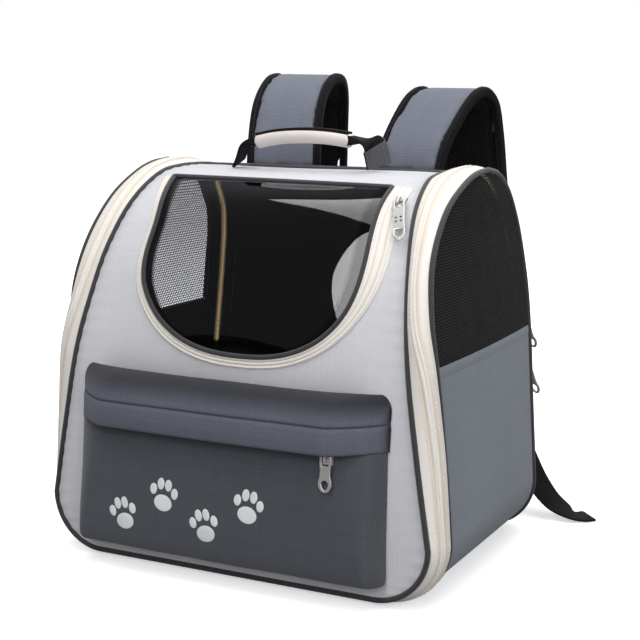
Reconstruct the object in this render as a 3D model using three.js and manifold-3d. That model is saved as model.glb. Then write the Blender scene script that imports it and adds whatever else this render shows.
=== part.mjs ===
// A soft pet carrier worn as a backpack: a zipped cloth cabin with a domed window in the leaning front,
// net sides, a hooded front pocket, a grab handle and two padded shoulder straps.
// Millimetres. In the bag's own group Y runs from the front panel's foot to the back, Z up from the floor.
import * as THREE from 'three';
import { mergeVertices } from 'three/addons/utils/BufferGeometryUtils.js';
import Module from 'manifold-3d';

const wasm = await Module();
wasm.setup();

// Walls and seams
const clothWall = 2;
const tapeWall = 1.8;
const netWall = 1.2;
const hemWall = 3;
const backWall = 6;
const baseWall = 3;
const pipingRadius = 2;
const gap = 0.4;
const seamSet = pipingRadius + gap;

// Body
const bodyDepth = 232;
const bodyCentre = new THREE.Vector3(0, bodyDepth / 2, 140);
const baseCorner = 44;
const seamCorner = 42;
const seamFoot = 5;
const panelSwell = 3.5;
const sideSwell = 3;
const swellFoot = 80;
const swellHead = 300;
const swellFade = 45;
const cornerAngles = [0, 22.5, 45, 67.5, 90];
const stepsPerRow = 2;

// Front and back, bottom to top: the panel's edge seam (half, y, z) beside the side panel's edge
// (edgeX, edgeY, edgeZ). bulge is how far the gusset between the two stands out.
const frontFoot = { half: 160, y: 1, edgeX: 164.5, edgeY: 31, bulge: 6, footBulge: 1.2 };
const frontRows = [
  { at: 'belly', half: 150.5, y: 3, z: 105, edgeX: 160, edgeY: 30, edgeZ: 105, bulge: 9.5 },
  { at: 'hem', half: 141, y: 8, z: 165, edgeX: 155.5, edgeY: 24, edgeZ: 169, bulge: 11 },
  { at: 'chest', half: 134.5, y: 18.5, z: 204, edgeX: 152, edgeY: 21, edgeZ: 207, bulge: 7.5 },
  { at: 'high', half: 129, y: 34, z: 240, edgeX: 147, edgeY: 33, edgeZ: 244, bulge: 5 },
  { at: 'brow', half: 122, y: 60, z: 275, edgeX: 144.2, edgeY: 63, edgeZ: 276.5, bulge: 4 },
  { at: 'shoulder', half: 117, y: 94, z: 295.5, edgeX: 144, edgeY: 96, edgeZ: 293.5, bulge: 4 },
  { at: 'crown', half: 114.5, y: 122, z: 299.5, edgeX: 144.2, edgeY: 121, edgeZ: 300.8, bulge: 4 },
];
const backFoot = { half: 146, y: 229, edgeX: 164.5, edgeY: 217, bulge: 3, footBulge: 0.2 };
const backRows = [
  { at: 'belly', half: 138, y: 231, z: 105, edgeX: 160, edgeY: 219, edgeZ: 105, bulge: 5 },
  { at: 'hem', half: 131.5, y: 232, z: 165, edgeX: 155.5, edgeY: 221, edgeZ: 169, bulge: 5 },
  { at: 'chest', half: 127, y: 231, z: 205, edgeX: 152, edgeY: 221, edgeZ: 205, bulge: 5 },
  { at: 'high', half: 123, y: 228, z: 238, edgeX: 147.5, edgeY: 218.5, edgeZ: 238, bulge: 3 },
  { at: 'brow', half: 119, y: 220, z: 265, edgeX: 145, edgeY: 212, edgeZ: 260, bulge: 3 },
  { at: 'shoulder', half: 116, y: 202, z: 285.5, edgeX: 144, edgeY: 195, edgeZ: 283, bulge: 3 },
  { at: 'crown', half: 114, y: 174, z: 297, edgeX: 144.2, edgeY: 171, edgeZ: 298, bulge: 3 },
];
const topRow = { at: 'top', half: 113, y: 147, z: 299.5, edgeX: 144.4, edgeY: 147, edgeZ: 303, bulge: 4 };

// Gusset zip, in the middle of the band
const zipHalf = 2.6;
const zipProud = 0.6;
const zipWall = 2.2;

// Side: hem between the cloth below and the net above, as steps up the side's edge
const hemSteps = { clothTop: 7.86, foot: 7.88, head: 8.14, netFoot: 8.17 };
const netTopStep = 19.5;
const pipingEndStep = 1.4;

// Window, measured down the front panel from the top seam. It drifts to the right on its way down,
// and the outer edge of its zip lies further that way near the top.
const windowTop = 61.5;
const windowWide = 126;
const windowFoot = 213;
const windowHalf = 94;
const windowPower = 2.4;
const windowDrift = 7;
const windowZipWidth = 8.5;
const windowZipDrift = 6;
const rimLift = 5;
const rimTopLift = 1.6;
const rimFootLift = 2;
const rimRun = 40;
const paneDome = 7;
const paneWall = 1;

// Front pocket: rows of depth out from the front panel and height, top to bottom. flat is how far the face
// runs before it turns back to the panel, trim narrows a row's ends. The hood's ends turn back straighter,
// by flapPower.
const pocketClear = 0.9;
const pocketHalf = 128.5;
const pocketFlat = 102;
const pocketRows = [
  { depth: 19, z: 112 },
  { depth: 21, z: 90, flat: 106 },
  { depth: 23, z: 62, flat: 112 },
  { depth: 24, z: 40, flat: 116 },
  { depth: 22.5, z: 23, flat: 118 },
  { depth: 15, z: 18, flat: 118, trim: 1 },
  { depth: 0.9, z: 16.5, flat: 118, trim: 3 },
];
const pocketZipHalf = 118;
const pocketZipFlat = 98;
const pocketZipRows = [
  { depth: 0.9, z: 140 },
  { depth: 8, z: 137 },
  { depth: 15.5, z: 128 },
  { depth: 18.6, z: 112.4 },
];
const flapHalf = 127.8;
const flapShift = 1.7;
const flapFlat = 92;
const flapPower = 1.3;
const flapRows = [
  { depth: 0.9, z: 152, trim: 11 },
  { depth: 9, z: 154.5, trim: 8 },
  { depth: 20, z: 152, trim: 3 },
  { depth: 28, z: 146 },
  { depth: 31.5, z: 136 },
  { depth: 32.5, z: 125 },
  { depth: 31.5, z: 115 },
];

// Grab handle
const gripRadius = 5.9;
const gripPath = [
  { x: -43, y: 121, z: 321 },
  { x: -22, y: 120, z: 325 },
  { x: 0, y: 120, z: 326.5 },
  { x: 22, y: 120, z: 326 },
  { x: 43, y: 121, z: 323.5 },
];
const handleWebbing = { width: 20, wall: 2.4 };
// Webbing from each end of the grip to the top seam, with the direction across its width at the foot
const handleRuns = {
  right: { knee: 16, foot: { x: 63, y: 127, z: 304.3 }, acrossX: 0.86, acrossY: 0.5 },
  left: { knee: 8, foot: { x: -63, y: 127, z: 303.4 }, acrossX: -0.2, acrossY: 0.98 },
};

// Shoulder straps: centre line from the top of the back, over and down behind. The right one sags more,
// in its own columns. strapTurns is how far the face turns outward along its length, in degrees.
const strapWidth = 65;
const strapWall = 9;
const bindingWidth = 5.8;
const strapTurns = [12, 9, 5, 5, 6, 7, 8, 9, 9, 9];
const bindingWall = 6.5;
const padRound = { run: 5, drop: 1.5 };
const strapPath = [
  { x: 57, y: 192.5, z: 294.4, rightX: 59, rightY: 192.5, rightZ: 294.4 },
  { x: 58, y: 196, z: 315, rightX: 60, rightY: 200, rightZ: 313 },
  { x: 62, y: 212, z: 348, rightX: 64, rightY: 220, rightZ: 338 },
  { x: 66.5, y: 240, z: 367, rightX: 67.5, rightY: 242, rightZ: 355 },
  { x: 70.5, y: 267, z: 369, rightX: 69.5, rightY: 264, rightZ: 359 },
  { x: 78, y: 290, z: 355, rightX: 72, rightY: 280, rightZ: 349 },
  { x: 84, y: 302, z: 325, rightX: 74.5, rightY: 287, rightZ: 323 },
  { x: 87, y: 306, z: 285, rightX: 77.5, rightY: 290, rightZ: 285 },
  { x: 88.5, y: 304, z: 240, rightX: 82, rightY: 292, rightZ: 240 },
  { x: 90, y: 297, z: 195, rightX: 87, rightY: 291, rightZ: 195 },
  { x: 92, y: 286, z: 156, rightX: 92, rightY: 286, rightZ: 156 },
];
const strapSteps = 20;
const webbing = { width: 25, wall: 2 };
const lowerSteps = 8;
const tailSteps = 22;
const tailDrop = 14;
const buckle = { width: 34, height: 26, wall: 6, bar: 5, rail: 4 };
// Webbing from the buckle to the foot of the back
const lowerWebbing = [
  { x: 97, y: 268, z: 96 },
  { x: 100, y: 254, z: 62 },
  { x: 103, y: 240, z: 40 },
  { x: 104, y: 231.6, z: 34 },
];
// Free end of the webbing, from the buckle to the floor, with the direction across its width
const tailPath = [
  { x: 102, y: 284, z: 96, acrossX: 1, acrossY: 0.1, acrossZ: 0.1 },
  { x: 119, y: 280, z: 72, acrossX: 0.9, acrossY: 0.4, acrossZ: 0.2 },
  { x: 137, y: 269, z: 49, acrossX: 0.5, acrossY: 0.8, acrossZ: 0.25 },
  { x: 154, y: 262, z: 27, acrossX: 0.25, acrossY: 0.93, acrossZ: 0.25 },
  { x: 169, y: 258, z: 13, acrossX: 0, acrossY: 0.95, acrossZ: 0.25 },
  { x: 183, y: 258, z: 5.5, acrossX: -0.3, acrossY: 0.92, acrossZ: 0.15 },
  { x: 191, y: 262, z: 1.6, acrossX: -0.6, acrossY: 0.8, acrossZ: 0 },
  { x: 198, y: 268.5, z: 1.3, acrossX: -0.7, acrossY: 0.71, acrossZ: 0 },
];

// Zip slider and pull. u runs down the pull, v across it, n out of the cloth.
const slider = { halfU: 6, halfV: 4.5, foot: 0.4, top: 3.4 };
const bridge = { upperU: -4, lowerU: 1.7, postU: 1.4, halfV: 1, under: 6, top: 7.2 };
const pull = { axisU: -0.5, axisN: 4.6, halfV: 4.8, tailHalfV: 3.2, wall: 1.4 };
const hangingPull = { length: 27, turn: 0, hang: 0 };
const gussetPull = { length: 25, turn: 0, hang: -22 };
const windowPull = { length: 38, turn: 17, hang: 3 };
const pullBar = 1.6;
const pullSlot = { halfV: 2.6, end: 6.4 };
const pullRing = { radius: 2, fromEnd: 5 };
const pocketSlider = { x: 92, z: 112.5 };
const windowSlider = { x: 109.5, down: 88, lift: 3.2, above: 10, below: 25 };
const gussetSliderSteps = { upper: 8.15, lower: 6.84 };

const cloth = (color, roughness = 0.85) => new THREE.MeshStandardMaterial({ color, roughness, metalness: 0 });
const materials = {
  lightCloth: cloth('#c8c8cd'),
  creamTape: cloth('#eee9e2'),
  zipCoil: cloth('#d8cdbe', 0.6),
  darkPiping: cloth('#55555a', 0.7),
  slateCloth: cloth('#40434a'),
  flapCloth: cloth('#565b66'),
  sideCloth: cloth('#707a84'),
  blackNet: cloth('#17171a'),
  blackCloth: cloth('#1c1c1f'),
  strapCloth: cloth('#7a7f8c'),
  gripPlastic: cloth('#ede8e6', 0.45),
  greyWebbing: cloth('#4a4a4c'),
  buckle: cloth('#151517', 0.4),
  pane: new THREE.MeshStandardMaterial({
    color: '#dfe2ea',
    roughness: 0.05,
    transparent: true,
    opacity: 0.3,
  }),
  zipMetal: new THREE.MeshStandardMaterial({ color: '#c9c9cc', roughness: 0.3, metalness: 1 }),
};

const vec = (x, y, z) => new THREE.Vector3(x, y, z);
const pointOf = (row) => vec(row.x, row.y, row.z);
const mirrored = (p) => vec(-p.x, p.y, p.z);
const smooth = (v) => THREE.MathUtils.smoothstep(v, 0, 1);

// A closed geometry from vertices and triangles, with its faces turned outward.
function closedGeometry(points, triangles) {
  let volume = 0;
  for (const [a, b, c] of triangles) {
    volume += points[a].dot(points[b].clone().cross(points[c]));
  }
  const faces = volume < 0 ? triangles.map(([a, b, c]) => [a, c, b]) : triangles;
  const geometry = new THREE.BufferGeometry().setFromPoints(points);
  geometry.setIndex(faces.flat());
  return geometry;
}

// A body through a run of rings with the same count of points, with flat ends or closed on itself.
function loft(rings, closed = false) {
  const count = rings[0].length;
  const triangles = [];
  const spans = closed ? rings.length : rings.length - 1;
  for (let i = 0; i < spans; i += 1) {
    const here = i * count;
    const next = ((i + 1) % rings.length) * count;
    for (let k = 0; k < count; k += 1) {
      const m = (k + 1) % count;
      triangles.push([here + k, here + m, next + m], [here + k, next + m, next + k]);
    }
  }
  if (!closed) {
    const last = (rings.length - 1) * count;
    for (let k = 1; k < count - 1; k += 1) {
      triangles.push([0, k + 1, k], [last, last + k, last + k + 1]);
    }
  }
  return closedGeometry(rings.flat(), triangles);
}

// A sheet of even thickness whose outer face is the grid of points, thickened towards the inside point.
// keep moves an inner point that would run into something.
function wall(grid, thickness, inside = bodyCentre, keep = (p) => p) {
  const rows = grid.length;
  const columns = grid[0].length;
  const normals = [];
  let facing = 0;
  for (let i = 0; i < rows; i += 1) {
    for (let j = 0; j < columns; j += 1) {
      const up = grid[Math.min(i + 1, rows - 1)][j].clone().sub(grid[Math.max(i - 1, 0)][j]);
      const across = grid[i][Math.min(j + 1, columns - 1)].clone().sub(grid[i][Math.max(j - 1, 0)]);
      const normal = across.cross(up).normalize();
      normals.push(normal);
      facing += normal.dot(grid[i][j].clone().sub(inside));
    }
  }
  const depth = facing > 0 ? -thickness : thickness;
  const outer = grid.flat();
  const points = [...outer, ...outer.map((p, k) => keep(p.clone().addScaledVector(normals[k], depth)))];
  const inner = outer.length;
  const triangles = [];
  const quad = (a, b, c, d) => triangles.push([a, b, c], [a, c, d]);
  for (let i = 0; i < rows - 1; i += 1) {
    for (let j = 0; j < columns - 1; j += 1) {
      const a = i * columns + j;
      quad(a, a + 1, a + columns + 1, a + columns);
      quad(inner + a, inner + a + columns, inner + a + columns + 1, inner + a + 1);
    }
  }
  const rim = [];
  for (let j = 0; j < columns - 1; j += 1) rim.push(j);
  for (let i = 0; i < rows - 1; i += 1) rim.push(i * columns + columns - 1);
  for (let j = columns - 1; j > 0; j -= 1) rim.push((rows - 1) * columns + j);
  for (let i = rows - 1; i > 0; i -= 1) rim.push(i * columns);
  rim.forEach((a, k) => {
    const b = rim[(k + 1) % rim.length];
    quad(a, inner + a, inner + b, b);
  });
  return closedGeometry(points, triangles);
}

// Direction of a run of points at one of them.
function heading(points, i, closed) {
  const n = points.length;
  const before = closed ? points[(i + n - 1) % n] : points[Math.max(i - 1, 0)];
  const after = closed ? points[(i + 1) % n] : points[Math.min(i + 1, n - 1)];
  return after.clone().sub(before).normalize();
}

// A round cord along a run of points.
function cordGeometry(points, radius, closed = false, sides = 6, inside = bodyCentre) {
  const rings = points.map((p, i) => {
    const along = heading(points, i, closed);
    const out = p.clone().sub(inside);
    out.addScaledVector(along, -out.dot(along)).normalize();
    const across = along.clone().cross(out);
    return Array.from({ length: sides }, (_, k) => {
      const a = (2 * Math.PI * k) / sides;
      const rise = out.clone().multiplyScalar(radius * Math.cos(a));
      return p.clone().add(rise).addScaledVector(across, radius * Math.sin(a));
    });
  });
  return loft(rings, closed);
}

// A flat band along a run of points: across gives its width direction, section its width and height pairs.
function bandGeometry(points, across, section) {
  const rings = points.map((p, i) => {
    const along = heading(points, i, false);
    const wide = across(i);
    wide.addScaledVector(along, -wide.dot(along)).normalize();
    const thick = wide.clone().cross(along);
    return section.map(([a, b]) => p.clone().addScaledVector(wide, a).addScaledVector(thick, b));
  });
  return loft(rings);
}

const flatSection = (from, to, thickness) => [
  [from, -thickness / 2],
  [to, -thickness / 2],
  [to, thickness / 2],
  [from, thickness / 2],
];

// Joining and cutting closed geometries.
function asSolid(geometry) {
  const bare = geometry.clone();
  bare.deleteAttribute('normal');
  bare.deleteAttribute('uv');
  const merged = mergeVertices(bare, 1e-4);
  const vertProperties = new Float32Array(merged.attributes.position.array);
  const triVerts = new Uint32Array(merged.index.array);
  return new wasm.Manifold(new wasm.Mesh({ numProp: 3, vertProperties, triVerts }));
}

function asGeometry(solid) {
  const { vertProperties, triVerts } = solid.getMesh();
  const geometry = new THREE.BufferGeometry();
  geometry.setAttribute('position', new THREE.BufferAttribute(vertProperties, 3));
  geometry.setIndex(new THREE.BufferAttribute(triVerts, 1));
  return geometry;
}

const join = (...parts) => asGeometry(parts.map(asSolid).reduce((all, next) => all.add(next)));
const cut = (body, tool) => asGeometry(asSolid(body).subtract(asSolid(tool)));

function block(low, high) {
  const size = high.clone().sub(low);
  const centre = low.clone().add(high).multiplyScalar(0.5);
  return new THREE.BoxGeometry(size.x, size.y, size.z).translate(centre.x, centre.y, centre.z);
}

const bag = new THREE.Group();
bag.position.y = -bodyDepth / 2;

function addPiece(name, geometry, material, parent = bag) {
  const piece = new THREE.Mesh(geometry, material);
  piece.name = name;
  parent.add(piece);
}

// Seam and side edge of the front or the back, as paired curves with a rounded corner at the foot.
function edgePair(foot, rows) {
  const corner = cornerAngles.map((degrees) => {
    const angle = THREE.MathUtils.degToRad(degrees);
    const out = Math.sin(angle);
    const down = Math.cos(angle);
    return {
      seam: vec(foot.half - seamCorner * (1 - out), foot.y, seamFoot + seamCorner * (1 - down)),
      edge: vec(foot.edgeX - baseCorner * (1 - out), foot.edgeY, baseCorner * (1 - down)),
      inset: vec(-out, 0, down),
      bulge: THREE.MathUtils.lerp(foot.footBulge, foot.bulge, out),
    };
  });
  const start = corner.at(-1);
  const upper = [...rows, topRow];
  const seams = [start.seam, ...upper.map((row) => vec(row.half, row.y, row.z))];
  const edges = [start.edge, ...upper.map((row) => vec(row.edgeX, row.edgeY, row.edgeZ))];
  const bulges = [start.bulge, ...upper.map((row) => row.bulge)];
  const seamCurve = new THREE.CatmullRomCurve3(seams, false, 'centripetal');
  const edgeCurve = new THREE.CatmullRomCurve3(edges, false, 'centripetal');
  const firstStep = corner.length - 1;
  const lastStep = firstStep + stepsPerRow * upper.length;
  const stations = [...corner];
  for (let step = firstStep + 1; step <= lastStep; step += 1) {
    const share = (step - firstStep) / (lastStep - firstStep);
    stations.push({
      seam: seamCurve.getPoint(share),
      edge: edgeCurve.getPoint(share),
      inset: vec(-1, 0, 0),
      bulge: bulges[Math.round((step - firstStep) / stepsPerRow)],
    });
  }
  const edgeAt = (step) => {
    if (step >= firstStep) return edgeCurve.getPoint((step - firstStep) / (lastStep - firstStep));
    const low = Math.floor(step);
    return corner[low].edge.clone().lerp(corner[low + 1].edge, step - low);
  };
  return { stations, seamCurve, edgeAt, length: seamCurve.getLength() };
}

const front = edgePair(frontFoot, frontRows);
const back = edgePair(backFoot, backRows);

// Front and back panels: rows across from seam to seam, swelling a little in the middle.
const swellAt = (z) => panelSwell * smooth(z / swellFoot) * smooth((swellHead - z) / swellFade);

function rowNormal(stations, i, facing) {
  const low = stations[Math.max(i - 1, 0)].seam;
  const high = stations[Math.min(i + 1, stations.length - 1)].seam;
  return vec(0, facing * (high.z - low.z), -facing * (high.y - low.y)).normalize();
}

function panelRow({ seam, inset }, normal, columns) {
  const end = seam.clone().addScaledVector(inset, seamSet);
  return Array.from({ length: columns + 1 }, (_, j) => {
    const t = (2 * j) / columns - 1;
    const swell = swellAt(seam.z) * (1 - t * t);
    return vec(end.x * t, end.y, end.z).addScaledVector(normal, swell);
  });
}

function panelGrid(side, facing, columns) {
  return side.stations.map((station, i) => {
    const isTop = i === side.stations.length - 1;
    const inset = isTop ? vec(-1, facing, 0) : station.inset;
    return panelRow({ seam: station.seam, inset }, rowNormal(side.stations, i, facing), columns);
  });
}

// A point on the front panel: x across, down along it from the top seam, lift out of its face.
function panelPoint(x, down, lift = 0) {
  const share = 1 - down / front.length;
  const p = front.seamCurve.getPointAt(share);
  const along = front.seamCurve.getTangentAt(share);
  const normal = vec(0, -along.z, along.y).normalize();
  const swell = swellAt(p.z) * (1 - (x / p.x) ** 2);
  return vec(x, p.y, p.z).addScaledVector(normal, swell + lift);
}

// Window outline from the top right round the foot to the top left, moved out by offset, across by drift.
const windowSteps = 12;
const windowMiddle = (windowTop + windowFoot) / 2;
const driftAt = (down) => (windowDrift * (down - windowTop)) / (windowFoot - windowTop);
const zipDriftAt = (down) => windowZipDrift * smooth((windowMiddle - down) / (windowMiddle - windowTop));
function windowOutline(offset, drift = () => 0) {
  const right = [{ x: windowHalf, down: windowTop }, { x: windowHalf, down: (windowTop + windowWide) / 2 }];
  for (let k = 0; k <= windowSteps; k += 1) {
    const angle = (Math.PI / 2) * (k / windowSteps);
    const power = 2 / windowPower;
    right.push({
      x: windowHalf * Math.max(Math.cos(angle), 0) ** power,
      down: windowWide + (windowFoot - windowWide) * Math.sin(angle) ** power,
    });
  }
  right.at(-1).x = 0;
  const loop = [...right, ...right.slice(0, -1).reverse().map(({ x, down }) => ({ x: -x, down }))];
  return loop.map((point, i) => {
    const a = loop[Math.max(i - 1, 0)];
    const b = loop[Math.min(i + 1, loop.length - 1)];
    const run = Math.hypot(b.x - a.x, b.down - a.down);
    const out = { x: (b.down - a.down) / run, down: -(b.x - a.x) / run };
    const shift = drift(point.down) + driftAt(point.down);
    return { x: point.x + shift + offset * out.x, down: point.down + offset * out.down };
  });
}

function rimAt(down) {
  const rise = smooth((down - windowTop) / rimRun);
  const fall = smooth((down - windowWide) / (windowFoot - windowWide));
  return THREE.MathUtils.lerp(THREE.MathUtils.lerp(rimTopLift, rimLift, rise), rimFootLift, fall);
}

const topAcross = (half) => [-0.6, -0.2, 0.2, 0.6].map((t) => t * half);

function windowHole() {
  const clear = seamSet + windowZipWidth + 2 * gap;
  const outline = windowOutline(clear, zipDriftAt);
  const topDown = windowTop - seamSet - gap;
  outline[0].down = topDown;
  outline.at(-1).down = topDown;
  const half = (outline[0].x - outline.at(-1).x) / 2;
  const top = topAcross(half).map((x) => ({ x: x + windowZipDrift, down: topDown }));
  const loop = [...outline, ...top].map(({ x, down }) => panelPoint(x, down));
  const through = panelPoint(0, windowMiddle, 1).sub(panelPoint(0, windowMiddle));
  const reach = 60;
  const outerRing = loop.map((p) => p.clone().addScaledVector(through, reach));
  const innerRing = loop.map((p) => p.clone().addScaledVector(through, -reach));
  const flat = [...outline, ...top].map(({ x, down }) => new THREE.Vector2(x, down));
  const caps = THREE.ShapeUtils.triangulateShape(flat, []);
  const n = loop.length;
  const triangles = [];
  for (let k = 0; k < n; k += 1) {
    const m = (k + 1) % n;
    triangles.push([k, m, n + m], [k, n + m, n + k]);
  }
  for (const [a, b, c] of caps) {
    triangles.push([a, c, b], [n + a, n + b, n + c]);
  }
  const runs = ([a, b, c]) => [[a, b], [b, c], [c, a]];
  const sameWay = caps.some((cap) => runs(cap).some(([from, to]) => from === 0 && to === 1));
  const sides = sameWay ? triangles : triangles.map((f, i) => (i < 2 * n ? [f[0], f[2], f[1]] : f));
  return closedGeometry([...outerRing, ...innerRing], sides);
}

addPiece('front_panel', cut(wall(panelGrid(front, -1, 10), clothWall), windowHole()), materials.lightCloth);
addPiece('back_panel', wall(panelGrid(back, 1, 6), backWall), materials.blackCloth);

// Cord round the front panel, shared with the back along the top seam, and round the rest of the back panel.
function topSeam() {
  const { seam } = front.stations.at(-1);
  const swell = swellAt(seam.z);
  return topAcross(1).reverse().map((t) => vec(seam.x * t, seam.y, seam.z + swell * (1 - t * t)));
}

const frontSeam = front.stations.map((station) => station.seam);
const backSeam = back.stations.slice(0, -1).map((station) => station.seam);
const frontLoop = [...frontSeam, ...topSeam(), ...frontSeam.map(mirrored).reverse()];
addPiece('panel_piping', cordGeometry(frontLoop, pipingRadius, true), materials.darkPiping);
const backLoop = [...backSeam.map(mirrored).reverse(), ...backSeam];
addPiece('back_piping', cordGeometry(backLoop, pipingRadius), materials.darkPiping);

// Gusset: the band between the panels' seams and the sides' edges, up the front, over and down the back.
const ringStations = [...front.stations, ...back.stations.slice(0, -1).reverse()];
const ring = ringStations.map((station) => ({ ...station }));
ring.forEach((station, i) => {
  const along = heading(ring.map((s) => s.seam.clone().add(s.edge)), i, false);
  const chord = station.edge.clone().sub(station.seam);
  const out = along.cross(chord).normalize();
  station.out = out.dot(station.seam.clone().sub(bodyCentre)) < 0 ? out.negate() : out;
  station.width = chord.length();
  const way = heading(ring.map((s) => s.seam), i, false);
  const edgeWay = heading(ring.map((s) => s.edge), i, false);
  station.seamShare = seamSet / Math.hypot(way.cross(chord).length(), 4 * station.bulge);
  station.edgeShare = seamSet / Math.hypot(edgeWay.cross(chord).length(), 4 * station.bulge);
});

function gussetPoint({ seam, edge, out, bulge, width }, share, lift = 0) {
  const chord = edge.clone().sub(seam).normalize();
  const slope = (4 * bulge * (1 - 2 * share)) / width;
  const normal = out.clone().addScaledVector(chord, -slope).normalize();
  const height = 4 * bulge * share * (1 - share);
  return seam.clone().lerp(edge, share).addScaledVector(out, height).addScaledVector(normal, lift);
}

function gussetStrip(stations, from, to, proud, thickness) {
  return loft(stations.map((station) => {
    const a = from(station);
    const b = to(station);
    return [
      gussetPoint(station, a, proud),
      gussetPoint(station, b, proud),
      gussetPoint(station, b, proud - thickness),
      gussetPoint(station, a, proud - thickness),
    ];
  }));
}

const zipShare = (station, half) => half / station.width;
const gussetStrips = [
  {
    name: 'front',
    from: (s) => s.seamShare,
    to: (s) => 0.5 - zipShare(s, zipHalf + gap),
    proud: 0,
    thickness: tapeWall,
  },
  {
    name: 'zip',
    from: (s) => 0.5 - zipShare(s, zipHalf),
    to: (s) => 0.5 + zipShare(s, zipHalf),
    proud: zipProud,
    thickness: zipWall,
  },
  {
    name: 'rear',
    from: (s) => 0.5 + zipShare(s, zipHalf + gap),
    to: (s) => 1 - s.edgeShare,
    proud: 0,
    thickness: tapeWall,
  },
];
const mirrorStation = (station) => ({
  ...station,
  seam: mirrored(station.seam),
  edge: mirrored(station.edge),
  out: mirrored(station.out),
});

for (const [side, stations] of [['right', ring], ['left', ring.map(mirrorStation)]]) {
  for (const { name, from, to, proud, thickness } of gussetStrips) {
    const material = name === 'zip' ? materials.zipCoil : materials.creamTape;
    addPiece(`gusset_${name}_${side}`, gussetStrip(stations, from, to, proud, thickness), material);
  }
}

for (const [name, station] of [['front', ring[0]], ['rear', ring.at(-1)]]) {
  const half = Math.min(station.seam.x, station.edge.x) - gap;
  const near = (seamSet + tapeWall / 2) / station.width;
  const shares = [near, THREE.MathUtils.lerp(near, 1, 0.4), 1 - seamSet / station.width];
  const grid = [half, -half].map((x) => shares.map((share) => gussetPoint(station, share).setX(x)));
  addPiece(`gusset_bottom_${name}`, wall(grid, tapeWall), materials.creamTape);
}

// Sides: rows from the front edge to the back edge, set in from the cord round the arch.
function insetEdge(edgeAt, step, facing) {
  const small = 0.05;
  const low = edgeAt(Math.max(step - small, 0));
  const along = edgeAt(step + small).sub(low).normalize();
  const inCorner = step < cornerAngles.length - 1;
  const inward = inCorner ? vec(0, facing, 0) : vec(0, facing * along.z, -facing * along.y);
  return edgeAt(step).addScaledVector(inward.normalize(), seamSet);
}

function sideRow(step, columns) {
  const a = insetEdge(front.edgeAt, step, 1);
  const b = insetEdge(back.edgeAt, step, -1);
  return Array.from({ length: columns + 1 }, (_, j) => {
    const t = j / columns;
    const p = a.clone().lerp(b, t);
    p.x += 4 * sideSwell * t * (1 - t) * smooth(p.z / swellFoot) * smooth((netTopStep - step) / 3);
    return p;
  });
}

const stepRange = (from, to) => {
  const steps = [from];
  for (let step = Math.floor(from) + 1; step < to; step += 1) steps.push(step);
  return [...steps, to];
};
const clothSteps = stepRange(0, hemSteps.clothTop);
const hemRun = [hemSteps.foot, hemSteps.head];
const netSteps = stepRange(hemSteps.netFoot, netTopStep);
const sidePieces = [
  { name: 'side_panel', steps: clothSteps, thickness: clothWall, material: materials.sideCloth },
  { name: 'side_hem', steps: hemRun, thickness: hemWall, material: materials.darkPiping },
  { name: 'side_mesh', steps: netSteps, thickness: netWall, material: materials.blackNet },
];
const sideColumns = 5;
const mirrorGrid = (grid) => grid.map((row) => row.map(mirrored));
for (const piece of sidePieces) {
  const grid = piece.steps.map((step) => sideRow(step, sideColumns));
  addPiece(`${piece.name}_right`, wall(grid, piece.thickness), piece.material);
  addPiece(`${piece.name}_left`, wall(mirrorGrid(grid), piece.thickness), piece.material);
}

const lastStep = front.stations.length - 1;
const arch = [
  ...stepRange(pipingEndStep, lastStep).map((step) => front.edgeAt(step)),
  ...stepRange(pipingEndStep, lastStep).slice(0, -1).reverse().map((step) => back.edgeAt(step)),
];
addPiece('side_piping_right', cordGeometry(arch, pipingRadius), materials.darkPiping);
addPiece('side_piping_left', cordGeometry(arch.map(mirrored), pipingRadius), materials.darkPiping);

const baseHalf = frontFoot.edgeX - baseCorner - gap;
const baseLow = vec(-baseHalf, frontFoot.edgeY + seamSet, 0);
const baseHigh = vec(baseHalf, backFoot.edgeY - seamSet, baseWall);
addPiece('bottom_panel', block(baseLow, baseHigh), materials.sideCloth);

// Window: clear pane, cord round it, and the zip that lets its sides and foot open.
const paneOutline = windowOutline(-seamSet);
const paneRows = paneOutline.slice(0, Math.floor(paneOutline.length / 2)).map(({ x, down }, i) => {
  const left = paneOutline[paneOutline.length - 1 - i];
  return { low: left.x, high: x, down };
});
paneRows[0].down = windowTop + seamSet;
const paneNarrowest = 24;
const paneColumns = 8;
const paneKept = paneRows.filter(({ low, high }) => high - low > paneNarrowest);
const paneGrid = paneKept.map(({ low, high, down }) => {
  const share = (down - windowTop) / (windowFoot - windowTop);
  return Array.from({ length: paneColumns + 1 }, (_, j) => {
    const t = (2 * j) / paneColumns - 1;
    const dome = paneDome * (1 - t * t) * Math.sin(Math.PI * share);
    return panelPoint(THREE.MathUtils.lerp(low, high, j / paneColumns), down, rimAt(down) + dome);
  });
});
addPiece('window_pane', wall(paneGrid, paneWall), materials.pane);

const rim = windowOutline(0).map(({ x, down }) => panelPoint(x, down, rimAt(down)));
const rimTop = topAcross(windowHalf).map((x) => panelPoint(x, windowTop, rimTopLift));
addPiece('window_piping', cordGeometry([...rim, ...rimTop], pipingRadius, true), materials.darkPiping);

const zipInner = windowOutline(seamSet);
const zipOuter = windowOutline(seamSet + windowZipWidth, zipDriftAt);
const zipRings = zipInner.map((inner, i) => {
  const outer = zipOuter[i];
  const rimHeight = rimAt(inner.down);
  return [
    panelPoint(inner.x, inner.down, rimHeight),
    panelPoint(outer.x, outer.down, gap),
    panelPoint(outer.x, outer.down, gap - tapeWall),
    panelPoint(inner.x, inner.down, rimHeight - tapeWall),
  ];
});
addPiece('window_zip', loft(zipRings), materials.creamTape);

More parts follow.
